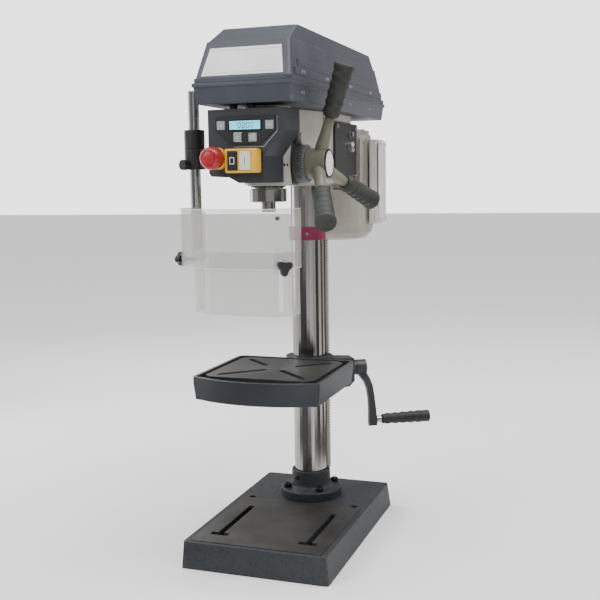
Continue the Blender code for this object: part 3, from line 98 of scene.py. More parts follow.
def settle(obj, place=None):
    """Put a piece in place, then write its place into its mesh."""
    if place is not None:
        obj.matrix_world = place
    only(obj)
    bpy.ops.object.transform_apply(location=True, rotation=True, scale=True)
    return obj


def use(obj, kind, **settings):
    """Add a modifier with its settings, and apply it."""
    modifier = obj.modifiers.new(kind.title(), kind)
    for key, value in settings.items():
        setattr(modifier, key, value)
    only(obj)
    bpy.ops.object.modifier_apply(modifier=modifier.name)
    return obj


def smooth(obj, angle=SMOOTH_BELOW):
    only(obj)
    bpy.ops.object.shade_smooth_by_angle(angle=radians(angle))
    return obj


def rounded(obj, width, segments=2, angle=32.0):
    """Round the edges sharper than an angle, and keep the flats looking flat."""
    use(obj, "BEVEL", width=width, segments=segments, limit_method="ANGLE", angle_limit=radians(angle),
        use_clamp_overlap=True)
    smooth(obj)
    return use(obj, "WEIGHTED_NORMAL", keep_sharp=True)


def toward(axis, turn=0.0):
    """The rotation that takes +Z to an axis, after a turn about +Z."""
    return Z.rotation_difference(Vector(axis)).to_matrix().to_4x4() @ Matrix.Rotation(turn, 4, "Z")


def at(origin, axis=Z, turn=0.0):
    return Matrix.Translation(Vector(origin)) @ toward(axis, turn)


# %% Edit-mode selection by place
def edit(obj, mode="FACE"):
    only(obj)
    bpy.ops.object.mode_set(mode="EDIT")
    bpy.ops.mesh.select_mode(type=mode)
    bpy.ops.mesh.select_all(action="DESELECT")


def pick(obj, test, part="faces"):
    """Select the faces, or edges, of the mesh in edit mode that pass a test."""
    bm = bmesh.from_edit_mesh(obj.data)
    for item in getattr(bm, part):
        item.select_set(bool(test(item)))
    bm.select_flush_mode()
    bmesh.update_edit_mesh(obj.data)


def take_all():
    bpy.ops.mesh.select_all(action="SELECT")


def leave():
    bpy.ops.object.mode_set(mode="OBJECT")


# %% Blocks and turned pieces
def block(name, low, high, width=0.001, segments=2):
    """A box between two corners, with rounded edges."""
    low, high = Vector(low), Vector(high)
    obj = added(name, bpy.ops.mesh.primitive_cube_add, size=1.0, location=(low + high) / 2, scale=high - low)
    settle(obj)
    return rounded(obj, width, segments) if width else obj


def turned(name, profile, origin=(0, 0, 0), axis=Z, sides=48, bored=False, angle=SMOOTH_BELOW):
    """A turned piece: a disc is extruded and resized ring by ring, as (radius, height) says."""
    radius, height = profile[0]
    obj = added(name, bpy.ops.mesh.primitive_circle_add, vertices=sides, radius=radius, location=(0, 0, height),
                fill_type="NOTHING" if bored else "NGON")
    settle(obj)
    edit(obj, "EDGE" if bored else "FACE")
    take_all()
    for next_radius, next_height in profile[1:]:
        rise = (0, 0, next_height - height)
        bpy.ops.mesh.extrude_region_move(TRANSFORM_OT_translate={"value": rise})
        if next_radius != radius:
            grow = next_radius / radius
            bpy.ops.transform.resize(value=(grow, grow, 1), center_override=(0, 0, next_height))
        radius, height = next_radius, next_height
    take_all()
    bpy.ops.mesh.remove_doubles(threshold=WELD)
    bpy.ops.mesh.normals_make_consistent(inside=False)
    leave()
    settle(obj, at(origin, axis))
    return smooth(obj, angle)


def weld(obj, distance):
    """Merge points that all but touch, and close what that leaves open."""
    edit(obj, "VERT")
    take_all()
    bpy.ops.mesh.remove_doubles(threshold=distance)
    bpy.ops.mesh.dissolve_degenerate(threshold=distance)
    take_all()
    bpy.ops.mesh.fill_holes(sides=12)
    bpy.ops.mesh.normals_make_consistent(inside=False)
    leave()
    return obj


def cut_with(obj, *cutters):
    """Cut shapes out of a piece, and throw the cutters away."""
    for cutter in cutters:
        use(obj, "BOOLEAN", operation="DIFFERENCE", object=cutter, solver="EXACT")
        bpy.data.objects.remove(cutter)
    return obj


def joined(name, *pieces):
    """Several solids as one piece."""
    clear_selection()
    for piece in pieces:
        piece.select_set(True)
    bpy.context.view_layer.objects.active = pieces[0]
    bpy.ops.object.join()
    pieces[0].name = name
    return pieces[0]


def copy_of(template, name, place):
    """A copy with its own mesh, moved inside that mesh."""
    mesh = template.data.copy()
    mesh.transform(place)
    return linked(name, mesh)


def point(joint):
    return Vector(JOINTS[joint]["pos_m"])


# %% [markdown]
# ## Finishes as sums
# A finish is easiest to read as arithmetic: a grain plus a stain, times a mask. So one small class wraps
# a shader socket and lets Python's own operators add the Math nodes.

# %% A socket that can be added up
def operator(kind, swapped=False):
    """An operator between two fields, or a field and a number, that adds one Math node."""
    if swapped:
        return lambda field, other: field.finish.math(kind, other, field)
    return lambda field, other: field.finish.math(kind, field, other)


class Field:
    """A number that varies over a surface."""

    __add__, __radd__ = operator("ADD"), operator("ADD", swapped=True)
    __sub__, __rsub__ = operator("SUBTRACT"), operator("SUBTRACT", swapped=True)
    __mul__, __rmul__ = operator("MULTIPLY"), operator("MULTIPLY", swapped=True)
    over, under = operator("GREATER_THAN"), operator("LESS_THAN")

    def __init__(self, finish, socket):
        self.finish = finish
        self.socket = socket


def feed(tree, socket, value):
    """Give a socket a number, a colour or a link."""
    if isinstance(value, Field):
        value = value.socket
    if isinstance(value, bpy.types.NodeSocket):
        tree.links.new(value, socket)
    else:
        socket.default_value = value


def add_node(tree, kind, inputs=None, **settings):
    """Add a shader node, give it its settings first and then its inputs' values or links."""
    made = tree.nodes.new("ShaderNode" + kind)
    for key, value in settings.items():
        setattr(made, key, value)
    for key, value in (inputs or {}).items():
        feed(tree, made.inputs[key], value)
    return made


class Finish:
    """One material: a Principled shader and the nodes that feed it."""

    def __init__(self, name, colour, roughness, metallic=0.0, **constants):
        self.material = bpy.data.materials.new(name)
        self.material.use_nodes = True
        self.tree = self.material.node_tree
        self.shader = self.tree.nodes["Principled BSDF"]
        self.set("Base Color", (*colour, 1.0))
        self.set("Roughness", roughness)
        self.set("Metallic", metallic)
        for key, value in constants.items():
            self.set(key.replace("_", " ").title().replace("Ior", "IOR"), value)
        self.place = self.node("TexCoord").outputs["Object"]

    def set(self, name, value):
        """Give one of the shader's own sockets a number, a colour or a link."""
        feed(self.tree, self.shader.inputs[name], value)

    def skin(self, colour, roughness, height=None, strength=0.0, distance=0.0005):
        """Give the shader its colour, roughness and bump, and hand over the material."""
        self.set("Base Color", colour)
        self.set("Roughness", roughness)
        if height is not None:
            made = self.node("Bump", {"Height": height, "Strength": strength, "Distance": distance})
            self.set("Normal", made.outputs[0])
        return self.material

    def node(self, kind, inputs=None, **settings):
        return add_node(self.tree, kind, inputs, **settings)

    def math(self, operation, a, b=0.0):
        made = self.node("Math", {0: a, 1: b}, operation=operation)
        return Field(self, made.outputs[0])

    def clamped(self, value, low, high):
        """Stretch the part of a field between two values over 0 to 1."""
        made = self.node("MapRange", {"Value": value, "From Min": low, "From Max": high}, clamp=True)
        return Field(self, made.outputs["Result"])

    def along(self, letter, vector=None):
        """The part of a vector along one axis; without a vector, it is the place on the object."""
        made = self.node("SeparateXYZ", {"Vector": vector or self.place})
        return Field(self, made.outputs[letter])

    def top(self, height, level):
        """1 on the faces that look up, above a height."""
        normal = self.node("NewGeometry").outputs["Normal"]
        return self.along("Z", normal).over(level) * self.along("Z").over(height)

    def noise(self, scale, detail=3.0, rough=0.55, stretch=(1, 1, 1)):
        mapping = self.node("Mapping", {"Vector": self.place, "Scale": stretch})
        made = self.node("TexNoise", {"Vector": mapping.outputs[0], "Scale": scale,
                                                      "Detail": detail, "Roughness": rough})
        return Field(self, made.outputs[0])

    def cells(self, scale):
        mapping = self.node("Mapping", {"Vector": self.place})
        made = self.node("TexVoronoi", {"Vector": mapping.outputs[0], "Scale": scale})
        return Field(self, made.outputs["Distance"])

    def edges(self, radius=0.0015):
        """1 on outer edges and 0 on flats, from how far a rounded normal turns away; it marks both wear and painted
        edge highlights.
        """
        soft = self.node("Bevel", {"Radius": radius}, samples=4).outputs[0]
        hard = self.node("NewGeometry").outputs["Normal"]
        dot = self.node("VectorMath", {0: soft, 1: hard}, operation="DOT_PRODUCT")
        return self.clamped(1.0 - Field(self, dot.outputs["Value"]), 0.02, 0.3)

    def blend(self, factor, a, b):
        """Mix two colours, or colour sockets."""
        colour = [(*c, 1.0) if isinstance(c, tuple) else c for c in (a, b)]
        made = self.node("Mix", {0: factor, 6: colour[0], 7: colour[1]}, data_type="RGBA")
        return made.outputs[2]


def shaded(colour, factor):
    return tuple(max(0.0, min(1.0, c * factor)) for c in colour)


def dress(material, *nodes):
    """Give CAD nodes, or pieces, a material."""
    for item in nodes:
        obj = frame["nodes"][item] if isinstance(item, str) else item
        obj.data.materials.clear()
        obj.data.materials.append(material)


def add_piece(piece, material, body="frame"):
    """Dress a new piece, and let it move with a body."""
    dress(material, piece)
    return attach(piece, body)


def stand_for(piece, node, material):
    """Dress a piece that takes a node's place on the node's own body."""
    dress(material, piece)
    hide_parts(node)
    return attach(piece, BODY_OF[node])


# %% [markdown]
# ## Painted castings
# The base wears a thick hammered paint: it pools into pea-sized dimples, each lightened by a painted glint, and it is
# thin and worn paler on the edges, where a painted highlight adds to the wear. The pad on top is milled bare and shows
# the cutter's passes.

# %% Hammered charcoal paint with a milled pad
GROUND_GREY = (0.07, 0.067, 0.062)
CHARCOAL = (0.021, 0.0235, 0.027)


def hammered(name, pad_top=None):
    finish = Finish(name, CHARCOAL, 0.42, specular_ior_level=0.3)
    dimples = finish.cells(120.0)
    grit = finish.noise(900.0, 2.0)
    stain = finish.noise(14.0, 4.0)
    # Wear and a painted edge highlight: the rounded edges are paler, in patches.
    wear_and_edge_highlight = finish.edges(0.0022) * finish.clamped(finish.noise(60.0, 4.0), 0.42, 0.72)
    paint = finish.blend(finish.clamped(stain, 0.3, 0.7), shaded(CHARCOAL, 0.75), shaded(CHARCOAL, 1.3))
    # Painted glint: each dimple is lightened towards a paler charcoal.
    paint = finish.blend(finish.clamped(dimples, 0.1, 0.6) * 0.5, paint, shaded(CHARCOAL, 1.7))
    paint = finish.blend(wear_and_edge_highlight * 0.5, paint, (0.13, 0.13, 0.13))
    roughness = 0.4 + 0.18 * stain + 0.1 * grit
    height = dimples * 0.8 + grit * 0.25
    if pad_top is None:
        return finish.skin(paint, roughness, height, 0.65, 0.001)
    top = finish.top(pad_top - 0.0004, 0.95)
    passes = finish.noise(60.0, 3.0, 0.6, (1.0, 0.03, 1.0))
    metal = finish.blend(finish.clamped(stain + passes * 0.4, 0.5, 1.0), shaded(GROUND_GREY, 0.7),
                         shaded(GROUND_GREY, 1.35))
    finish.set("Metallic", top * 0.75)
    return finish.skin(finish.blend(top, paint, metal), (1.0 - top) * roughness + top * (0.34 + 0.16 * passes),
                       (1.0 - top) * height + top * passes * 0.1, 0.65, 0.001)


BASE_PAINT = hammered("base_hammered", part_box("base")[1].z)
FLANGE_PAINT = hammered("flange_hammered")
print("hammered paint: base and flange")

# %% [markdown]
# The table, bracket and crank are smooth dark paint over a sand casting. The table's top is ground in
# circles about its middle, so its scratches are arcs, with two painted bands of sheen across them, and a painted
# highlight makes the rim and plate edges shine.

# %% Dark cast paint, with the table's ground top
TABLE_DARK = (0.024, 0.028, 0.034)
TABLE_MIDDLE_Y = -0.21


def cast_paint(name, colour, roughness=0.42, grain=700.0, edge_wear_and_highlight_colour=(0.22, 0.22, 0.22), edge_wear_and_highlight_amount=0.45, bump=0.18):
    finish = Finish(name, colour, roughness, specular_ior_level=0.45)
    sand = finish.noise(grain, 3.0)
    cloud = finish.noise(9.0, 5.0)
    drift = finish.noise(45.0, 3.0)
    paint = finish.blend(finish.clamped(cloud, 0.3, 0.7), shaded(colour, 0.82), shaded(colour, 1.18))
    paint = finish.blend(finish.clamped(sand, 0.56, 0.8) * 0.3, paint, shaded(colour, 1.6))
    # Wear and a painted edge highlight: the rounded edges go towards the pale edge colour, in patches.
    wear_and_edge_highlight = finish.edges(0.0016) * finish.clamped(drift, 0.4, 0.7)
    finish.skin(finish.blend(wear_and_edge_highlight * edge_wear_and_highlight_amount, paint, edge_wear_and_highlight_colour), roughness - 0.07 + 0.2 * cloud + 0.06 * sand,
                sand + drift * 0.6, bump)
    return finish


def table_finish():
    # The table's strong pale edge colour is a painted highlight on the rim and plate edges, over their wear.
    finish = cast_paint("table_paint", TABLE_DARK, 0.4, edge_wear_and_highlight_colour=(0.45, 0.45, 0.44), edge_wear_and_highlight_amount=0.8)
    paint = finish.shader.inputs["Base Color"].links[0].from_socket
    rough = Field(finish, finish.shader.inputs["Roughness"].links[0].from_socket)
    x, y = finish.along("X"), finish.along("Y") - TABLE_MIDDLE_Y
    radius = finish.math("SQRT", x * x + y * y)
    angle = finish.math("ARCTAN2", y, x)
    ring = finish.node("TexNoise", {"W": radius * 900.0, "Scale": 1.0, "Detail": 2.0}, noise_dimensions="1D")
    rings = Field(finish, ring.outputs[0])
    # Painted sheen: two bright sweeps round the middle, where the circular grinding would catch the light.
    painted_sheen_sweep = finish.math("SINE", angle * 2.0 + 0.9) * 0.5 + 0.5
    top = finish.top(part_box("table")[1].z - 0.0009, 0.93)
    stain = finish.noise(22.0, 4.0)
    tone = finish.clamped(rings * 0.5 + painted_sheen_sweep * 0.45 + stain * 0.5, 0.35, 1.05)
    metal = finish.blend(tone, (0.04, 0.038, 0.036), (0.13, 0.124, 0.116))
    finish.set("Metallic", top * 0.85)
    return finish.skin(finish.blend(top, paint, metal), (1.0 - top) * rough + top * (0.3 + 0.16 * rings))


TABLE_PAINT = table_finish()
BRACKET_PAINT = cast_paint("bracket_paint", TABLE_DARK, 0.42).material
CRANK_PAINT = cast_paint("crank_paint", (0.028, 0.031, 0.034), 0.4).material
HEAD_BEIGE = (0.4, 0.372, 0.335)
HEAD_PAINT = cast_paint("head_paint", HEAD_BEIGE, 0.36, 500.0, (0.62, 0.6, 0.56), 0.35, 0.1).material
KHAKI = (0.165, 0.165, 0.118)
HUB_PAINT = cast_paint("hub_paint", KHAKI, 0.38, 650.0, (0.42, 0.42, 0.37), 0.5, 0.12).material
MOTOR_GREY = (0.34, 0.315, 0.275)
MOTOR_PAINT = cast_paint("motor_paint_finish", MOTOR_GREY, 0.4, 520.0, (0.55, 0.54, 0.5), 0.4, 0.1).material
BOX_PAINT = cast_paint("box_paint", (0.56, 0.545, 0.5), 0.36, 520.0, (0.66, 0.65, 0.62), 0.3, 0.08).material
CASE_GREY = (0.052, 0.058, 0.073)
CASE_PAINT = cast_paint("case_paint", CASE_GREY, 0.37, 420.0, (0.16, 0.17, 0.19), 0.3, 0.1).material
HOUSING_PAINT = cast_paint("housing_moulding", (0.03, 0.033, 0.041), 0.42, 1300.0, (0.15, 0.16, 0.18), 0.25,
                           0.16).material
COLLAR_PAINT = cast_paint("collar_paint", (0.17, 0.01, 0.045), 0.38, 600.0, (0.4, 0.1, 0.18), 0.4).material
print("cast paint: table, bracket, crank, head, hub, motor, case, housing, collar")

# %% [markdown]
# ## Steel, aluminium and chrome
# Ground steel is never one grey. The grinding wheel leaves fine lines round a shaft or along a flat, and
# the lines change the roughness more than the colour.

# %% Ground, turned and plated metal
def ground_steel(name, colour, roughness, lines=(1, 1, 90), scale=30.0, metal=1.0, stains=0.12):
    finish = Finish(name, colour, roughness, metal)
    grind = finish.noise(scale, 4.0, 0.7, lines)
    film = finish.noise(7.0, 4.0)
    spots = finish.clamped(finish.noise(55.0, 5.0), 0.62, 0.78)
    tone = finish.blend(finish.clamped(film, 0.25, 0.75), shaded(colour, 0.88), shaded(colour, 1.1))
    return finish.skin(finish.blend(spots * stains, tone, shaded(colour, 0.45)),
                       roughness - 0.05 + 0.1 * grind + 0.07 * film + 0.1 * spots, grind, 0.05, 0.0002)


COLUMN_STEEL = ground_steel("column_steel", (0.33, 0.322, 0.305), 0.16)
RACK_STEEL = ground_steel("rack_steel", (0.3, 0.285, 0.245), 0.36, (40, 40, 1), 20.0, 1.0, 0.35)
QUILL_STEEL = ground_steel("quill_steel", (0.36, 0.35, 0.33), 0.2)
ROD_STEEL = ground_steel("rod_chrome", (0.68, 0.68, 0.68), 0.1, (1, 1, 60), 20.0, 1.0, 0.05)
SCREW_STEEL = ground_steel("screw_steel", (0.5, 0.5, 0.5), 0.26, (1, 1, 1), 160.0)
BLACK_STEEL = ground_steel("black_oxide", (0.03, 0.03, 0.032), 0.38, (1, 1, 1), 200.0, 0.8)
PULLEY_METAL = ground_steel("pulley_aluminium", (0.62, 0.62, 0.61), 0.3, (1, 1, 140), 24.0)
SHAFT_STEEL = ground_steel("shaft_steel", (0.52, 0.52, 0.52), 0.24, (60, 1, 1), 20.0)
print("metals: column, rack, quill, rod, screw, black, pulley, shaft")

# %% [markdown]
# ## Rubber and moulded plastic
# Grip rubber is dull and slightly green, greyer on the ridges that a palm has rubbed. Moulded plastic has
# a fine even spark texture.

# %% Rubber, plastics and the clear guard
def rubber(name, colour, roughness=0.58):
    finish = Finish(name, colour, roughness, specular_ior_level=0.4)
    fine = finish.noise(1400.0, 2.0)
    dust = finish.noise(40.0, 4.0)
    rubbed = finish.edges(0.0035) * finish.clamped(dust, 0.35, 0.65)
    body = finish.blend(finish.clamped(dust, 0.4, 0.8), shaded(colour, 0.8), shaded(colour, 1.35))
    return finish.skin(finish.blend(rubbed * 0.5, body, shaded(colour, 2.6)), roughness - 0.08 + 0.22 * dust,
                       fine, 0.12, 0.0003)


def moulded(name, colour, roughness=0.4, spark=1500.0, bump=0.1, **constants):
    finish = Finish(name, colour, roughness, **constants)
    texture = finish.noise(spark, 2.0)
    tone = finish.noise(18.0, 3.0)
    return finish.skin(finish.blend(finish.clamped(tone, 0.3, 0.7), shaded(colour, 0.92), shaded(colour, 1.08)),
                       roughness - 0.05 + 0.12 * tone + 0.05 * texture, texture, bump, 0.0003)


def clear_sheet(name, low, high, rim=0.0016, haze=0.3):
    """Clear guard sheet: see-through flats, denser at its cut edges and folds, with a painted highlight there."""
    finish = Finish(name, (0.6, 0.6, 0.57), 0.1, specular_ior_level=0.6, coat_weight=0.4, coat_roughness=0.04)
    z = finish.along("Z")
    ends = 1.0 - (z.over(low + rim) * z.under(high - rim))
    facing = finish.edges(0.0012)
    film = finish.noise(16.0, 4.0)
    scuffs = finish.clamped(finish.noise(90.0, 5.0, 0.7, (1, 1, 0.15)), 0.62, 0.8)
    # Painted highlight: the cut edges and folds are paler, and denser.
    dense_painted_edge_highlight = finish.math("MAXIMUM", ends * 0.7, facing * 0.85)
    finish.set("Alpha", finish.math("MINIMUM", haze + 0.07 * film + 0.1 * scuffs + dense_painted_edge_highlight * 0.45, 0.92))
    return finish.skin(finish.blend(dense_painted_edge_highlight, (0.56, 0.555, 0.52), (0.86, 0.87, 0.86)),
                       0.07 + 0.1 * film + 0.2 * scuffs)


GRIP_RUBBER = rubber("grip_rubber", (0.04, 0.043, 0.037))
CRANK_RUBBER = rubber("crank_grip_rubber", (0.02, 0.021, 0.02), 0.52)
BELT_RUBBER = rubber("belt_rubber_finish", (0.02, 0.02, 0.021), 0.72)
BLACK_PLASTIC = moulded("black_moulding", (0.016, 0.016, 0.017), 0.42)
GLOSS_BLACK = moulded("gloss_black", (0.01, 0.01, 0.011), 0.2, 300.0, 0.03)
STOP_RED = moulded("stop_red", (0.36, 0.012, 0.018), 0.3, 900.0, 0.04, coat_weight=0.3, coat_roughness=0.15)
SWITCH_YELLOW = moulded("switch_yellow_moulding", (0.78, 0.42, 0.018), 0.34)
BUTTON_IVORY = moulded("button_ivory", (0.72, 0.69, 0.58), 0.35)
KEY_GREY = moulded("key_rubber", (0.3, 0.33, 0.36), 0.5)
LABEL_WHITE = moulded("label_white", (0.8, 0.8, 0.82), 0.28, 500.0, 0.02)
LINE_GREY = moulded("print_grey", (0.42, 0.46, 0.52), 0.45)
print("rubber and plastics made")

# %% [markdown]
# ## Rounding the castings
# A sharp computer edge gives a model away, and real castings have a radius everywhere. Each plain node is
# copied, its loose triangles are welded, its flats are made whole, and then a small bevel runs round every
# edge. The copy stands for the node and rides on the same body.

# %% Rounded copies of the plain nodes
def rounded_copy(node, width, material, segments):
    piece = linked(f"{node}_rounded", frame["nodes"][node].data.copy())
    edit(piece)
    take_all()
    bpy.ops.mesh.remove_doubles(threshold=WELD)
    bpy.ops.mesh.dissolve_limited(angle_limit=radians(0.6))
    leave()
    rounded(piece, width, segments)
    return stand_for(piece, node, material)


ROUNDED = {
    "base": (0.0022, BASE_PAINT, 3),
    "column_flange": (0.001, FLANGE_PAINT, 2),
    "rack_collar": (0.0005, COLLAR_PAINT, 2),
    "table_bracket": (0.0012, BRACKET_PAINT, 2),
    "table": (0.0014, TABLE_PAINT, 3),
    "crank_arm": (0.002, CRANK_PAINT, 3),
    "head_casting": (0.002, HEAD_PAINT, 3),
    "motor_plate": (0.0012, HEAD_PAINT, 2),
    "motor_body": (0.0005, MOTOR_PAINT, 2),
    "terminal_box": (0.0022, BOX_PAINT, 3),
    "control_housing": (0.0024, HOUSING_PAINT, 3),
    "guard_holder": (0.0012, BLACK_PLASTIC, 2),
    "guard_sleeve": (0.0008, BLACK_PLASTIC, 2),
    "feed_hub": (0.0012, HUB_PAINT, 3),
    "switch_box": (0.001, SWITCH_YELLOW, 2),
    "table_lock_lever": (0.001, SHAFT_STEEL, 2),
    "holder_knob": (0.0012, BLACK_PLASTIC, 2),
    "guard_knob_left": (0.0015, BLACK_PLASTIC, 3),
    "guard_knob_right": (0.0015, BLACK_PLASTIC, 3),
    "spring_cap": (0.0012, HEAD_PAINT, 2),
}
for node, (width, material, segments) in ROUNDED.items():
    piece = rounded_copy(node, width, material, segments)
    print(f"{node}: {len(piece.data.polygons)} faces")

# %% Plain nodes that only need their finish
dress(COLUMN_STEEL, "column")
dress(RACK_STEEL, "rack", "lift_gear", "lift_worm", "feed_pinion", "return_spring")
dress(QUILL_STEEL, "quill", "quill_cap", "spindle")
dress(ROD_STEEL, "guard_rod")
dress(PULLEY_METAL, "spindle_pulley", "idler_pulley", "motor_pulley", "tension_knob")
dress(BELT_RUBBER, "front_belt", "rear_belt")
dress(MOTOR_PAINT, "fan_cowl")
dress(HUB_PAINT, "spoke_1", "spoke_2", "spoke_3")
dress(BLACK_PLASTIC, "depth_bezel", "side_plate", "keypad_panel", "stop_button")
dress(KEY_GREY, "key_speed_up", "key_speed_down", "key_light", "key_menu")
dress(SWITCH_YELLOW, "estop_base")
dress(BUTTON_IVORY, "start_button")
for node in ("guard_upper", "guard_lower"):
    low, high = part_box(node)
    dress(clear_sheet(f"{node}_clear", low.z, high.z), node)
print("nodes dressed:", len(frame["nodes"]))

# %% [markdown]
# ## The belt case
# The case is two pressings. The lid is drawn up in two slopes from a lipped rim, with stepped bands along
# its hinge side that take the hinge screws. A box is extruded and narrowed twice, its edges are rounded,
# its underside is opened, and a wall is given last, so that the rounding is inside and out.

# %% Lid and tray
CASE_WALL = 0.0026
LIP = 0.0035
lid_low, lid_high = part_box("belt_cover")
tray_low, tray_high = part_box("belt_tray")
RIM = 0.0085
SHOULDER_Z, SHOULDER_HALF, SHOULDER_FRONT, SHOULDER_BACK = 1.013, 0.083, -0.328, 0.274
ROOF_HALF, ROOF_FRONT, ROOF_BACK = 0.076, -0.265, 0.247


def stretch_top(obj, height, half, front, back):
    """In edit mode, lift the selected top face to a height and give it a new outline."""
    bm = bmesh.from_edit_mesh(obj.data)
    chosen = [v for v in bm.verts if v.select]
    xs = [v.co.x for v in chosen]
    ys = [v.co.y for v in chosen]
    middle_y, middle_z = (min(ys) + max(ys)) / 2, chosen[0].co.z
    bpy.ops.mesh.extrude_region_move(
        TRANSFORM_OT_translate={"value": (0, (front + back) / 2 - middle_y, height - middle_z)})
    bpy.ops.transform.resize(value=(2 * half / (max(xs) - min(xs)), (back - front) / (max(ys) - min(ys)), 1),
                             center_override=(0, (front + back) / 2, height))


def corner_box(name, low, high, radius, segments=6):
    """A box whose upright edges are well rounded."""
    obj = block(name, low, high, 0)
    edit(obj, "EDGE")
    pick(obj, lambda e: abs(e.verts[0].co.z - e.verts[1].co.z) > 0.001, "edges")
    bpy.ops.mesh.bevel(offset=radius, segments=segments, affect="EDGES")
    leave()
    return obj


def top_face(obj):
    highest = max(v.co.z for v in obj.data.vertices)
    edit(obj)
    pick(obj, lambda f: f.normal.z > FLAT and f.calc_center_median().z > highest - 0.0001)


lid = corner_box("lid", (lid_low.x, lid_low.y, lid_low.z), (lid_high.x, lid_high.y, lid_low.z + RIM), 0.014)
top_face(lid)
bpy.ops.mesh.inset(thickness=LIP)
stretch_top(lid, SHOULDER_Z, SHOULDER_HALF, SHOULDER_FRONT, SHOULDER_BACK)
stretch_top(lid, SHOULDER_Z + 0.0015, SHOULDER_HALF - 0.0022, SHOULDER_FRONT + 0.004, SHOULDER_BACK - 0.004)
stretch_top(lid, lid_high.z, ROOF_HALF, ROOF_FRONT, ROOF_BACK)
leave()
rounded(lid, 0.0042, 4, 12.0)
edit(lid)
pick(lid, lambda f: f.normal.z < -FLAT and f.calc_center_median().z < lid_low.z + 0.0006)
bpy.ops.mesh.delete(type="FACE")
leave()
use(lid, "SOLIDIFY", thickness=CASE_WALL, offset=-1.0)
smooth(lid)
print("lid:", len(lid.data.polygons), "faces")

# %% Stepped bands on the lid's hinge side, and the tray
bands = []
for index, (front, back, low, high, out) in enumerate((
    (-0.336, 0.281, lid_low.z + 0.0088, 0.9612, 0.0958),
    (-0.31, 0.262, 0.961, 0.9785, 0.0925),
)):
    bands.append(block(f"lid_band_{index}", (0.084, front, low), (out, back, high), 0.0024, 4))
lid = joined("lid", lid, *bands)
stand_for(lid, "belt_cover", CASE_PAINT)

tray = corner_box("tray", (-0.091, -0.355, tray_low.z), (0.091, 0.298, tray_low.z + 0.0005), 0.013)
top_face(tray)
stretch_top(tray, tray_high.z - 0.0075, tray_high.x - 0.0026, tray_low.y + 0.0026, tray_high.y - 0.0026)
stretch_top(tray, tray_high.z - 0.0068, tray_high.x, tray_low.y, tray_high.y)
stretch_top(tray, tray_high.z, tray_high.x, tray_low.y, tray_high.y)
leave()
use(tray, "BEVEL", width=0.0045, segments=4, limit_method="ANGLE", angle_limit=radians(60.0))
top_face(tray)
bpy.ops.mesh.delete(type="FACE")
leave()
use(tray, "SOLIDIFY", thickness=CASE_WALL, offset=-1.0)
shaft_holes = []
for joint, radius in (("spindle_pulley_turn", 0.02), ("idler_turn", 0.012), ("motor_pulley_turn", 0.024)):
    hole_at = Vector((point(joint).x, point(joint).y, tray_low.z - 0.005))
    shaft_holes.append(turned("shaft_hole", [(radius, 0.0), (radius, 0.015)], hole_at))
cut_with(tray, *shaft_holes)
weld(tray, 0.00003)
smooth(tray)
stand_for(tray, "belt_tray", CASE_PAINT)
print("tray:", len(tray.data.polygons), "faces; bands:", len(bands))

# %% [markdown]
# The front of the lid carries a plain label, and the panel below a display. Both are thin plates laid a
# hair above the face, with a printed line just inside the rim.

# %% Front label on the lid
FRONT_FOOT = Vector((0.0, lid_low.y + LIP, lid_low.z + RIM))
FRONT_HEAD = Vector((0.0, SHOULDER_FRONT, SHOULDER_Z))
FRONT_UP = (FRONT_HEAD - FRONT_FOOT).normalized()
FRONT_OUT = X.cross(FRONT_UP).normalized()


def front_plate(name, low, high, foot_half, head_half, lift, thickness):
    """A thin plate on the lid's sloping front, between two heights measured up the slope."""
    obj = added(name, bpy.ops.mesh.primitive_plane_add, size=1.0)
    obj.scale = (2 * foot_half, high - low, 1.0)
    settle(obj)
    edit(obj, "VERT")
    pick(obj, lambda v: v.co.y > 0, "verts")
    bpy.ops.transform.resize(value=(head_half / foot_half, 1, 1), center_override=(0, 0, 0))
    leave()
    middle = FRONT_FOOT + FRONT_UP * (low + high) / 2 + FRONT_OUT * lift
    place = Matrix((X, FRONT_UP, FRONT_OUT)).transposed().to_4x4()
    settle(obj, Matrix.Translation(middle) @ place)
    return use(obj, "SOLIDIFY", thickness=thickness, offset=1.0)


label = front_plate("front_label", 0.0035, 0.06, 0.08, 0.07, 0.0001, 0.0006)
rounded(label, 0.00025)
rules = [front_plate(f"label_rule_{i}", 0.0085 + 0.045 * i, 0.009 + 0.045 * i, 0.073 - 0.0075 * i,
                     0.0729 - 0.0075 * i, 0.0008, 0.0002) for i in range(2)]
add_piece(label, LABEL_WHITE, BODY_OF["belt_cover"])
add_piece(joined("label_rules", *rules), LINE_GREY, BODY_OF["belt_cover"])
print("label:", tuple(round(v, 3) for v in label.dimensions))

# %% [markdown]
# ## Screws
# Two kinds cover the machine: socket-headed cap screws in the castings and small pan heads in the sheet
# metal. Each is modelled once, with a real recess, and copied to its seats.

# %% Screw templates
def cap_screw(radius, height):
    """Socket-headed cap screw, standing on z = 0."""
    chamfer = 0.12 * radius
    head = turned("cap_template", [(radius, 0.0), (radius, height - chamfer), (radius - chamfer, height)], sides=28)
    return cut_with(head, turned("tool", [(0.52 * radius, 0.45 * height), (0.52 * radius, 1.2 * height)], sides=6))


def pan_screw(radius, height):
    """Cross-headed pan screw, standing on z = 0."""
    dome = [(radius, 0.0), (radius, 0.3 * height), (0.93 * radius, 0.62 * height), (0.74 * radius, 0.87 * height),
            (0.4 * radius, height)]
    head = turned("pan_template", dome, sides=24)
    arm, half = 0.58 * radius, 0.12 * radius
    across = block("tool_x", (-arm, -half, 0.45 * height), (arm, half, 1.5 * height), 0)
    along = block("tool_y", (-half, -arm, 0.45 * height), (half, arm, 1.5 * height), 0)
    return cut_with(head, across, along)


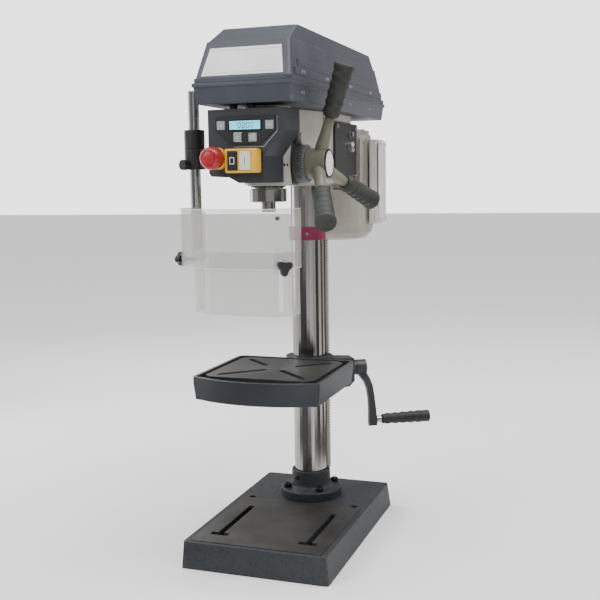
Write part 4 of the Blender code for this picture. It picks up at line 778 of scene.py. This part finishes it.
SCREW_TURN = 0.4
TEMPLATES = {
    "flange_screw": cap_screw(0.008, 0.011),
    "small_cap": cap_screw(0.0042, 0.0042),
    "pan": pan_screw(0.0034, 0.0017),
    "hinge_pan": pan_screw(0.003, 0.0014),
}


def place_screws(name, kind, seats, body, material=SCREW_STEEL):
    """Screws of one kind on one body, as one piece. A seat is (point, direction out)."""
    copies = [copy_of(TEMPLATES[kind], f"{name}_{i}", at(seat, out, SCREW_TURN * i))
              for i, (seat, out) in enumerate(seats)]
    piece = joined(name, *copies)
    smooth(piece, 30.0)
    return add_piece(piece, material, body)


FLANGE_CIRCLE, FLANGE_TOP = 0.056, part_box("column_flange")[0].z + 0.019
HINGE_Y = (-0.29, -0.146, 0.02, 0.18)
SCREW_GAP = 0.006


def hinge_seats(x, z):
    """Two screws for each hinge leaf, on the case's right side."""
    return [((x, y + gap, z), X) for y in HINGE_Y for gap in (-SCREW_GAP, SCREW_GAP)]


flange_seats = [((FLANGE_CIRCLE * cos(a), FLANGE_CIRCLE * sin(a), FLANGE_TOP), Z)
                for a in map(radians, (-142.0, -52.0, 38.0, 128.0))]
place_screws("flange_screws", "flange_screw", flange_seats, "frame", BLACK_STEEL)
place_screws("lid_hinge_screws", "hinge_pan", hinge_seats(0.0957, 0.9535), "belt_cover")
place_screws("tray_hinge_screws", "hinge_pan", hinge_seats(0.0938, 0.9175), "frame")
print("screws placed")

# %% [markdown]
# ## Grips
# A feed grip is a thick rubber sleeve with finger waves, and it flares into a flat end so that a hand
# can't slip off. It is turned in one go: five waves on a slight taper, then the flare and its rolled edge.

# %% Ribbed grips
WAVES, STEPS_PER_WAVE, FLARE = 5, 6, 0.015


def grip_profile(length, neck, body, end, bore, bore_depth, wave_depth):
    """The rings of a grip, from its bore out to the rolled edge of its end."""
    rings = [(bore, bore_depth), (bore, 0.0), (neck, 0.0), (neck + 0.0012, 0.0016)]
    flare_from = length - FLARE
    steps = WAVES * STEPS_PER_WAVE
    for i in range(steps + 1):
        t = i / steps
        wave = wave_depth * 0.5 * (1 - cos(2 * pi * WAVES * t)) if t < 1 else 0.0
        rings.append((body - 0.0016 + 0.002 * t + wave, 0.004 + (flare_from - 0.004) * t))
    start = rings[-1][0]
    for share, rise in ((0.55, 0.3), (0.85, 0.5), (1.0, 0.66), (1.0, 0.86), (0.96, 0.96), (0.88, 1.0)):
        rings.append((start + (end - start) * share, flare_from + FLARE * rise))
    rings += [(end * 0.7, length - 0.0004), (end * 0.62, length - 0.0012), (end * 0.15, length - 0.0012)]
    return rings


HUB_CENTRE = Vector((0.088, point("feed_turn").y, point("feed_turn").z))
SPOKE_TILT, SPOKE_FIRST = radians(19.0), radians(96.0)
GRIP_START, GRIP_END, GRIP_BORE, GRIP_DEPTH = 0.094, 0.196, 0.0078, 0.06
SHANK = ((0.0136, 0.024), (0.0134, 0.034), (0.0112, 0.06), (0.0098, 0.0925), (0.009, 0.0932))


def spoke_way(index):
    angle = SPOKE_FIRST + 2 * pi * index / 3
    return Vector((sin(SPOKE_TILT), cos(angle) * cos(SPOKE_TILT), sin(angle) * cos(SPOKE_TILT)))


for index in range(3):
    way = spoke_way(index)
    profile = grip_profile(GRIP_END - GRIP_START, 0.0125, 0.0172, 0.0205, GRIP_BORE, GRIP_DEPTH, 0.002)
    grip = turned(f"feed_grip_{index + 1}", profile, HUB_CENTRE + way * GRIP_START, way, 40, angle=50.0)
    stand_for(grip, f"spoke_grip_{index + 1}", GRIP_RUBBER)
    shank = turned(f"feed_shank_{index + 1}", SHANK, HUB_CENTRE, way, 32, angle=50.0)
    add_piece(shank, HUB_PAINT, "feed")

crank_grip_at = point("crank_grip_spin")
crank_grip_axis = Vector(JOINTS["crank_grip_spin"]["axis"]).normalized()
profile = grip_profile(0.1105, 0.0095, 0.0122, 0.0132, 0.0054, 0.104, 0.0016)
crank_sleeve = turned("crank_sleeve", profile, crank_grip_at, crank_grip_axis, 36, angle=50.0)
stand_for(crank_sleeve, "crank_grip", CRANK_RUBBER)
print("grips: three on the feed, one on the crank")

# %% [markdown]
# The crank's arm ends in a bright pin with a shoulder and a washer, seen between the arm and the grip.
# The feed hub has a plain badge on its outer end, held in a dark ring.

# %% Crank pin shoulder, hub badge and depth scale
shoulder_low = crank_grip_at - crank_grip_axis * 0.0115
shoulder = turned("crank_shoulder", [(0.0075, 0.0), (0.0075, 0.0085), (0.0066, 0.009), (0.0054, 0.009),
                                     (0.0054, 0.0104)], shoulder_low, crank_grip_axis, 28)
add_piece(shoulder, SCREW_STEEL, "crank")

feed_at = point("feed_turn")
DRUM_X, BADGE_X = 0.1, 0.1104
drum = turned("hub_drum", [(0.0295, 0.0), (0.0295, 0.01), (0.0285, 0.0108)], (DRUM_X, feed_at.y, feed_at.z),
              X, 56)
add_piece(drum, HUB_PAINT, "feed")
ring = turned("badge_ring", [(0.0282, 0.0), (0.0282, 0.0022), (0.0272, 0.003), (0.0248, 0.003), (0.0244, 0.0018),
                             (0.0244, 0.0)], (BADGE_X, feed_at.y, feed_at.z), X, 56)
add_piece(ring, GLOSS_BLACK, "feed")
badge = turned("hub_badge", [(0.0243, 0.0), (0.0243, 0.0022), (0.0236, 0.0028)], (BADGE_X, feed_at.y, feed_at.z),
               X, 56)


def badge_finish():
    """A plain white disc with two printed rings."""
    finish = Finish("badge_print", (0.8, 0.8, 0.8), 0.3)
    y, z = finish.along("Y") - feed_at.y, finish.along("Z") - feed_at.z
    radius = finish.math("SQRT", y * y + z * z)
    outer = radius.over(0.0196) * radius.under(0.0204)
    inner = radius.over(0.011) * radius.under(0.0114)
    speck = finish.clamped(finish.noise(400.0, 2.0), 0.62, 0.8)
    printed = finish.math("MAXIMUM", outer, inner)
    return finish.skin(finish.blend(printed * 0.85 + speck * 0.08, (0.8, 0.8, 0.79), (0.1, 0.1, 0.12)),
                       0.26 + 0.12 * finish.noise(50.0, 3.0))


add_piece(badge, badge_finish(), "feed")


MARKS, RING_GREY = 60, (0.05, 0.053, 0.056)


def scale_ring_finish():
    """Dark grey ring with fine depth marks round its rim, each fifth one longer."""
    finish = Finish("depth_scale", RING_GREY, 0.45)
    y, z = finish.along("Y") - feed_at.y, finish.along("Z") - feed_at.z
    angle = finish.math("ARCTAN2", z, y)
    wave = finish.math("COSINE", angle * MARKS)
    long_wave = finish.math("COSINE", angle * (MARKS / 5))
    rim = finish.along("X").over(0.064)
    long_rim = finish.along("X").over(0.059)
    ink = finish.math("MAXIMUM", wave.over(0.9) * rim, long_wave.over(0.996) * long_rim)
    fine = finish.noise(1200.0, 2.0)
    return finish.skin(finish.blend(ink * 0.7, RING_GREY, (0.55, 0.55, 0.53)), 0.4 + 0.12 * fine, fine, 0.08, 0.0003)


dress(scale_ring_finish(), "depth_ring")
print("hub badge at x =", BADGE_X, "and", MARKS, "depth marks")

# %% [markdown]
# ## The control panel
# The keys sit on a dark panel with a small lit display between them, which shows a row of zeros. Each
# zero is six thin bars laid out by a short table, since real segments are bars with gaps between them.

# %% Display, digits and the panel's outline
PANEL_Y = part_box("keypad_panel")[0].y


def glow(name, colour, strength):
    """A lit screen: a cloudy tone with a fine raster."""
    finish = Finish(name, colour, 0.25, specular_ior_level=0.4, emission_strength=strength)
    raster = finish.math("SINE", finish.along("Z") * 9000.0)
    cloud = finish.noise(60.0, 2.0)
    lit = finish.blend(finish.clamped(cloud + raster * 0.06, 0.25, 0.8), shaded(colour, 0.8), shaded(colour, 1.25))
    finish.set("Base Color", lit)
    finish.set("Emission Color", lit)
    return finish.material


bezel = block("display_bezel", (-0.035, PANEL_Y - 0.001, 0.849), (0.031, PANEL_Y + 0.0006, 0.869), 0.0005)
add_piece(bezel, GLOSS_BLACK)
screen = block("display_screen", (-0.0325, PANEL_Y - 0.0014, 0.8512), (0.0285, PANEL_Y - 0.0002, 0.8668), 0.0003)
add_piece(screen, glow("display_glow", (0.16, 0.62, 0.8), 0.9))

# A zero's bars: place across, place up, and half sizes, from the digit's middle
FLAT_BAR, UPRIGHT_BAR = (0.0019, 0.00065), (0.00065, 0.0019)
ZERO = ((0, 1, FLAT_BAR), (1, 0.5, UPRIGHT_BAR), (1, -0.5, UPRIGHT_BAR), (0, -1, FLAT_BAR), (-1, -0.5, UPRIGHT_BAR),
        (-1, 0.5, UPRIGHT_BAR))
bars = []
for place in range(4):
    for across, up, (half_x, half_z) in ZERO:
        x, z = -0.013 + 0.0085 * place + 0.0024 * across, 0.859 + 0.0046 * up
        bars.append(block("bar", (x - half_x, PANEL_Y - 0.0017, z - half_z), (x + half_x, PANEL_Y - 0.0012, z + half_z),
                          0.00012, 1))
add_piece(joined("display_digits", *bars), moulded("digit_ink", (0.012, 0.1, 0.2), 0.35, 500.0, 0.02))
OUTLINE = ((0.0605, 0.874), (0.0605, 0.847), (0.04, 0.826), (0.035, 0.8195), (-0.025, 0.8195))
lines = []
for (x0, z0), (x1, z1) in zip(OUTLINE, OUTLINE[1:]):
    start, end = Vector((x0, 0, z0)), Vector((x1, 0, z1))
    line = block("line", (-0.0004, -0.0002, -0.0004), (0.0004, 0.0002, (end - start).length + 0.0004), 0.0001, 1)
    lines.append(settle(line, at((x0, -0.33855, z0), end - start)))
add_piece(joined("panel_outline", *lines), LINE_GREY)
print("display:", len(bars), "bars")

# %% [markdown]
# Each key has its symbol on it, and so have the start and stop buttons. A symbol is a few bars a fifth of
# a millimetre high, on the key's own body, so it goes in with the key.

# %% Key symbols, one piece on each key's body
def mark(name, node, shapes, material, lift=0.0002, depth=0.0004):
    """Thin raised bars on the front of a button: (x, z, half width, half height), from its middle."""
    low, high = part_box(node)
    x, z = (low.x + high.x) / 2, (low.z + high.z) / 2
    pads = [block("pad", (x + dx - hx, low.y - lift, z + dz - hz), (x + dx + hx, low.y - lift + depth, z + dz + hz),
                  0.0001, 1) for dx, dz, hx, hz in shapes]
    return add_piece(joined(name, *pads), material, BODY_OF[node])


KEY_INK = moulded("key_ink", (0.62, 0.65, 0.68), 0.45, 600.0, 0.03)
mark("mark_plus", "key_speed_up", ((0, 0, 0.0038, 0.0006), (0, 0, 0.0006, 0.0038)), KEY_INK)
mark("mark_minus", "key_speed_down", ((0, 0, 0.0038, 0.0006),), KEY_INK)
mark("mark_light", "key_light", ((0, 0, 0.0016, 0.0016), (0, 0.0036, 0.0004, 0.001), (0, -0.0036, 0.0004, 0.001),
                                 (0.0036, 0, 0.001, 0.0004), (-0.0036, 0, 0.001, 0.0004)), KEY_INK)
mark("mark_menu", "key_menu", ((0, 0.0026, 0.0036, 0.0005), (0, 0, 0.0036, 0.0005), (0, -0.0026, 0.0036, 0.0005)),
     KEY_INK)
SWITCH_INK = moulded("switch_ink", (0.06, 0.16, 0.13), 0.4, 600.0, 0.03)
WHITE_INK = moulded("white_ink", (0.62, 0.62, 0.66), 0.4, 600.0, 0.03)
mark("mark_start", "start_button", ((0, 0, 0.0007, 0.007),), SWITCH_INK)
mark("mark_stop", "stop_button", ((0, 0.0058, 0.0042, 0.0007), (0, -0.0058, 0.0042, 0.0007),
                                  (0.0042, 0, 0.0007, 0.0062), (-0.0042, 0, 0.0007, 0.0062)), WHITE_INK)

# %% [markdown]
# The emergency stop is turned like the real one: a stem, an undercut, a rolled rim, and a ring pressed
# into its face. One list of rings does it, as shares of the button's radius and depth.

# %% The mushroom button, its collar and the panel's hooks
low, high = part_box("estop_button")
wide, deep = (high.x - low.x) / 2, high.y - low.y
SHAPE = ((0.56, 0.0), (0.56, 0.36), (0.66, 0.4), (0.95, 0.43), (0.99, 0.47), (1.0, 0.52), (1.0, 0.64), (0.985, 0.72),
         (0.93, 0.81), (0.83, 0.89), (0.7, 0.94), (0.66, 0.945), (0.645, 0.925), (0.615, 0.925), (0.6, 0.955),
         (0.44, 0.985), (0.22, 0.998))
mushroom = turned("mushroom", [(wide * r, deep * h) for r, h in SHAPE],
                  ((low.x + high.x) / 2, high.y, (low.z + high.z) / 2), -Y, 56)
stand_for(mushroom, "estop_button", STOP_RED)
low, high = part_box("estop_base")
collar = turned("mushroom_collar", [(0.0145, 0.0), (0.0172, 0.0), (0.0168, 0.0016), (0.015, 0.0022), (0.0145, 0.0016),
                                    (0.0145, 0.0)],
                ((low.x + high.x) / 2, low.y + 0.0002, (low.z + high.z) / 2), -Y, 48, bored=True)
add_piece(collar, SWITCH_YELLOW)
hooks = joined("panel_hooks", *[block("hook", (x - 0.004, -0.3345, 0.885), (x + 0.004, -0.315, 0.8986), 0.0015)
                                for x in (-0.03, 0.006)])
add_piece(hooks, GLOSS_BLACK)
print("mushroom, collar and hooks made")

# %% [markdown]
# ## Head, plate and motor
# The small hardware is what makes the head read as a machine: a clamp lug, the screws of the motor plate,
# a pale lip round the column and the quill, the junction box's lid, and the lock screw on the base flange.
# Each screw finds its own seat: a ray is cast at the part, and the screw stands where the ray lands.

# %% Seats found by touch
PROBE_X, PROBE_Y = 0.2, -0.6


def touch(node, start, way):
    """Where a straight line first meets a node's surface."""
    obj = frame["nodes"][node]
    corners = [obj.matrix_world @ v.co for v in obj.data.vertices]
    surface = BVHTree.FromPolygons(corners, [p.vertices[:] for p in obj.data.polygons])
    place = surface.ray_cast(Vector(start), Vector(way))[0]
    if place is None:
        raise ValueError(f"nothing of {node} lies that way")
    return place


LIP_CHAMFER = 0.0006


def lip(name, middle, bore, radius, low, high, material):
    """A flat ring with a small chamfer."""
    c = LIP_CHAMFER
    ring = turned(name, [(bore, low), (radius - c, low), (radius, low + c), (radius, high - c), (radius - c, high),
                         (bore, high), (bore, low)], (middle[0], middle[1], 0.0), Z, 64, bored=True)
    return add_piece(ring, material)


quill_at = point("spindle_turn")
lip("column_lip", (0, 0), 0.0363, 0.05, 0.7462, 0.7502, HEAD_PAINT)
lip("quill_lip", quill_at, 0.0312, 0.0405, 0.7474, 0.7502, HEAD_PAINT)
lip("quill_seal", quill_at, 0.0309, 0.0345, 0.7446, 0.7476, GLOSS_BLACK)

LUG_Y, LUG_Z = -0.118, 0.795
lug = turned("clamp_lug", [(0.0095, 0.0), (0.0095, 0.02), (0.0085, 0.021)], (0.062, LUG_Y, LUG_Z), X, 32)
web = block("lug_web", (0.062, LUG_Y, 0.7862), (0.0825, -0.096, 0.8038), 0.0015)
lug = cut_with(joined("clamp_lug", lug, web),
               turned("lug_hole", [(0.0034, 0.0), (0.0034, 0.012)], (0.076, LUG_Y, LUG_Z), X, 24))
add_piece(smooth(lug, 35.0), HUB_PAINT)
boss_at = touch("head_casting", (PROBE_X, -0.172, 0.8385), -X)
boss = turned("head_boss", [(0.0125, -0.001), (0.0125, 0.0105), (0.0115, 0.0118), (0.004, 0.0124)], boss_at, X,
              36)
add_piece(boss, HEAD_PAINT)
tongue = block("bezel_tongue", (0.0403, -0.201, 0.818), (0.0475, -0.187, 0.848), 0.0022, 3)
add_piece(tongue, BLACK_PLASTIC)
edge_strip = block("plate_edge", (0.064, 0.1505, 0.756), (0.0702, 0.1585, 0.88), 0.0008)
add_piece(edge_strip, SCREW_STEEL)

knob_at = point("tension_lock")
plate_cap = turned("plate_cap", [(0.0075, 0.0), (0.0075, 0.003), (0.0055, 0.0036), (0.0055, 0.0095), (0.0045, 0.0105)],
                   touch("side_plate", (PROBE_X, knob_at.y, knob_at.z + 0.028), -X), X, 32)
add_piece(plate_cap, SCREW_STEEL)
square = block("knob_square", (-0.0036, -0.0036, -0.0002), (0.0036, 0.0036, 0.001), 0.0003)
settle(square, at((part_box("tension_knob")[1].x, knob_at.y, knob_at.z), X, pi / 4))
add_piece(square, GLOSS_BLACK, "tension_knob")
print("lug, boss, tongue, strip, cap and square made")

# %% Screws that find their seats
def screws_on(node, name, kind, out, starts, material=SCREW_STEEL):
    """Screws on a node, each where a line from its start, against the way out, lands."""
    seats = [(touch(node, start, -out), out) for start in starts]
    return place_screws(name, kind, seats, BODY_OF[node], material)


screws_on("side_plate", "plate_screws", "small_cap", X,
          [(PROBE_X, y, z) for y in (0.0, 0.138) for z in (0.764, 0.872)])
screws_on("head_casting", "pointer_screws", "hinge_pan", X,
          [(PROBE_X, y, 0.787) for y in (-0.253, -0.244)], BLACK_STEEL)
sleeve_way = Vector((-0.45, -0.893, 0.0)).normalized()
screws_on("column_flange", "sleeve_screw", "small_cap", sleeve_way, [sleeve_way * 0.2 + Z * 0.1], BLACK_STEEL)

box_low, box_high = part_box("terminal_box")
box_lid = block("junction_lid", (box_high.x - 0.0006, box_low.y + 0.003, box_low.z + 0.004),
                (box_high.x + 0.0022, box_high.y - 0.003, box_high.z - 0.004), 0.0009, 3)
add_piece(box_lid, BOX_PAINT, BODY_OF["terminal_box"])
lid_corners = [((box_high.x + 0.0021, y, z), X) for y in (box_low.y + 0.009, box_high.y - 0.009)
               for z in (box_low.z + 0.011, box_high.z - 0.011)]
place_screws("junction_screws", "pan", lid_corners, BODY_OF["terminal_box"])
screws_on("motor_plate", "motor_bolts", "small_cap", Z,
          [(x, y, 0.95) for x in (-0.05, 0.05) for y in (0.165, 0.272)])
screws_on("guard_upper", "guard_screw", "small_cap", -Y, [(0.075, PROBE_Y, 0.69)])
screws_on("guard_holder", "holder_screw", "small_cap", -Y, [(-0.1, PROBE_Y, 0.801)], BLACK_STEEL)
screws_on("rack_collar", "collar_screw", "hinge_pan", -Y, [(0.012, -0.2, 0.643)])
print("seats found")

# %% [markdown]
# ## Light and camera
# The machine stands on a pale floor under a white sky. A broad key from the front left, a lamp high on
# the right and a wide ceiling lamp shape the castings, and two lamps behind part them from the floor.

# %% Floor
floor = settle(added("floor", bpy.ops.mesh.primitive_plane_add, size=40.0))
ground = Finish("floor_paper", (0.92, 0.92, 0.92), 0.8)
ground.set("Base Color", ground.blend(ground.noise(3.0, 3.0), (0.91, 0.91, 0.91), (0.94, 0.94, 0.94)))
dress(ground.material, floor)
print("floor laid")

# %% [markdown]
# Bright steel is drawn by what it reflects, so dark cards stand and lie round the column. They are seen
# only in the metal, where each one becomes a long dark line.

# %% Dark cards for the steel: heading in degrees, distance, width, tone
CARD_HEIGHT, CARD_MIDDLE, CARD_FOOT, CARD_FLOOR = 1.9, 0.951, 0.45, 0.003
CARDS = {
    "left": (-110.0, 1.6, 1.9, (0.08, 0.08, 0.086)),
    "right": (-10.0, 1.4, 1.0, (0.05, 0.045, 0.036)),
    "far_right": (42.0, 1.4, 0.8, (0.08, 0.064, 0.045)),
    "back": (118.0, 1.6, 0.5, (0.22, 0.21, 0.2)),
}


def stand_card(name, place, width, height, tone):
    """A dark card seen only in reflections."""
    card = added(f"card_{name}", bpy.ops.mesh.primitive_plane_add, size=1.0)
    settle(card, place @ Matrix.Diagonal((width, height, 1.0, 1.0)))
    paper = Finish(f"card_{name}_paper", tone, 0.9)
    paper.set("Base Color", paper.blend(paper.noise(4.0), shaded(tone, 0.9), shaded(tone, 1.1)))
    dress(paper.material, card)
    card.visible_camera = card.visible_shadow = card.visible_diffuse = False


for name, (heading, distance, width, tone) in CARDS.items():
    around = Matrix.Rotation(radians(heading) + pi / 2, 4, "Z")
    upright = Matrix.Translation((0, -distance, CARD_MIDDLE)) @ Matrix.Rotation(pi / 2, 4, "X")
    stand_card(name, around @ upright, width, CARD_HEIGHT, tone)
    flat = Matrix.Translation((0, -(CARD_FOOT + distance) / 2, CARD_FLOOR))
    stand_card(f"{name}_flat", around @ flat, 0.7 * width, distance - CARD_FOOT, tone)
print("cards:", 2 * len(CARDS))

# %% [markdown]
# The sky is plain white behind the machine, but polished metal needs light and dark to reflect. So rays
# from the camera see white, and all others see grey bands that go round the horizon.

# %% Sky: white to the eye, shaded in bands to the metal
SKY_STRENGTH, WHITE_STRENGTH = 0.5, 2.7
world = bpy.data.worlds.new("sky")
bpy.context.scene.world = world
world.use_nodes = True
sky = world.node_tree
sky.nodes.clear()
ray = add_node(sky, "LightPath")
way_out = add_node(sky, "TexCoord")
split = add_node(sky, "SeparateXYZ", {0: way_out.outputs["Generated"]})
heading = add_node(sky, "Math", {0: split.outputs["Y"], 1: split.outputs["X"]}, operation="ARCTAN2")
bands = add_node(sky, "MapRange", {"Value": heading.outputs[0], "From Min": -pi, "From Max": pi})
ramp = add_node(sky, "ValToRGB", {"Fac": bands.outputs["Result"]})
stops = ((0.0, 0.75), (0.1, 1.0), (0.17, 0.95), (0.2, 0.2), (0.24, 0.22), (0.27, 0.85), (0.33, 0.7),
         (0.38, 0.25), (0.44, 0.3), (0.5, 0.9), (0.62, 0.55), (0.75, 0.8), (0.88, 0.4), (1.0, 0.75))
for position, level in stops:
    stop = ramp.color_ramp.elements.new(position)
    stop.color = (level, level, level, 1.0)
ramp.color_ramp.elements.remove(ramp.color_ramp.elements[0])
dim = add_node(sky, "Background", {"Color": ramp.outputs["Color"], "Strength": SKY_STRENGTH})
white = add_node(sky, "Background", {"Color": (1.0, 1.0, 1.0, 1.0), "Strength": WHITE_STRENGTH})
choice = add_node(sky, "MixShader", {0: ray.outputs["Is Camera Ray"], 1: dim.outputs[0], 2: white.outputs[0]})
add_node(sky, "OutputWorld", {"Surface": choice.outputs[0]})
print("sky bands:", len(stops))

# %% Lamps: place, size, power
LAMPS = {
    "key": ((-1.35, -2.1, 1.9), 1.1, 26.0),
    "fill": ((2.6, -1.0, 0.9), 1.6, 3.0),
    "side": ((1.05, -0.1, 2.65), 1.3, 48.0),
    "rim": ((-1.5, 1.8, 1.5), 1.1, 16.0),
    "back_right": ((1.8, 1.9, 1.3), 1.1, 16.0),
}
MACHINE_MIDDLE = Vector((0.0, -0.05, 0.55))


def add_lamp(name, kind, spot, way, power, **settings):
    """A lamp at a spot, shining one way."""
    lamp = added(f"lamp_{name}", bpy.ops.object.light_add, type=kind, location=spot)
    for key, value in settings.items():
        setattr(lamp.data, key, value)
    lamp.data.energy = power
    lamp.rotation_euler = way.to_track_quat("-Z", "Y").to_euler()
    return lamp


for name, (spot, size, power) in LAMPS.items():
    add_lamp(name, "AREA", spot, (MACHINE_MIDDLE - Vector(spot)).normalized(), power, size=size)
add_lamp("strip", "AREA", (-1.55, 0.3, 1.05), Vector((1.0, -0.2, 0.0)), 11.0, shape="RECTANGLE", size=0.55,
         size_y=1.5)
sun = add_lamp("ceiling", "SUN", (0, 0, 3), -Z, 2.6, angle=radians(75.0))
sun.rotation_euler = (radians(14.0), radians(-10.0), 0)
print("lamps:", len(LAMPS) + 2)

# %% [markdown]
# The camera stands as far off as someone who looks at the whole machine, a little right of straight ahead
# and a little above the table, so the front, the right side and the tops of the base and table all show.

# %% Camera
AZIMUTH, ELEVATION, ROLL = radians(19.42), radians(7.0), radians(-0.89)
CAMERA_AT, FOCAL_LENGTH, SENSOR_WIDTH = (0.68, -1.986, 0.753), 57.43, 36.0
turn = Matrix.Rotation(AZIMUTH, 4, "Z") @ Matrix.Rotation(pi / 2 - ELEVATION, 4, "X") @ Matrix.Rotation(ROLL, 4, "Z")
camera = linked("camera", bpy.data.cameras.new("camera"))
camera.data.lens = FOCAL_LENGTH
camera.data.sensor_width = SENSOR_WIDTH
camera.matrix_world = Matrix.Translation(CAMERA_AT) @ turn
bpy.context.scene.camera = camera
print("camera at", tuple(round(v, 3) for v in camera.location))

# %% [markdown]
# ## Clearing up
# The screw templates are removed, now that every screw has been copied from them.

# %% Remove the screw templates
for template in TEMPLATES.values():
    bpy.data.objects.remove(template)
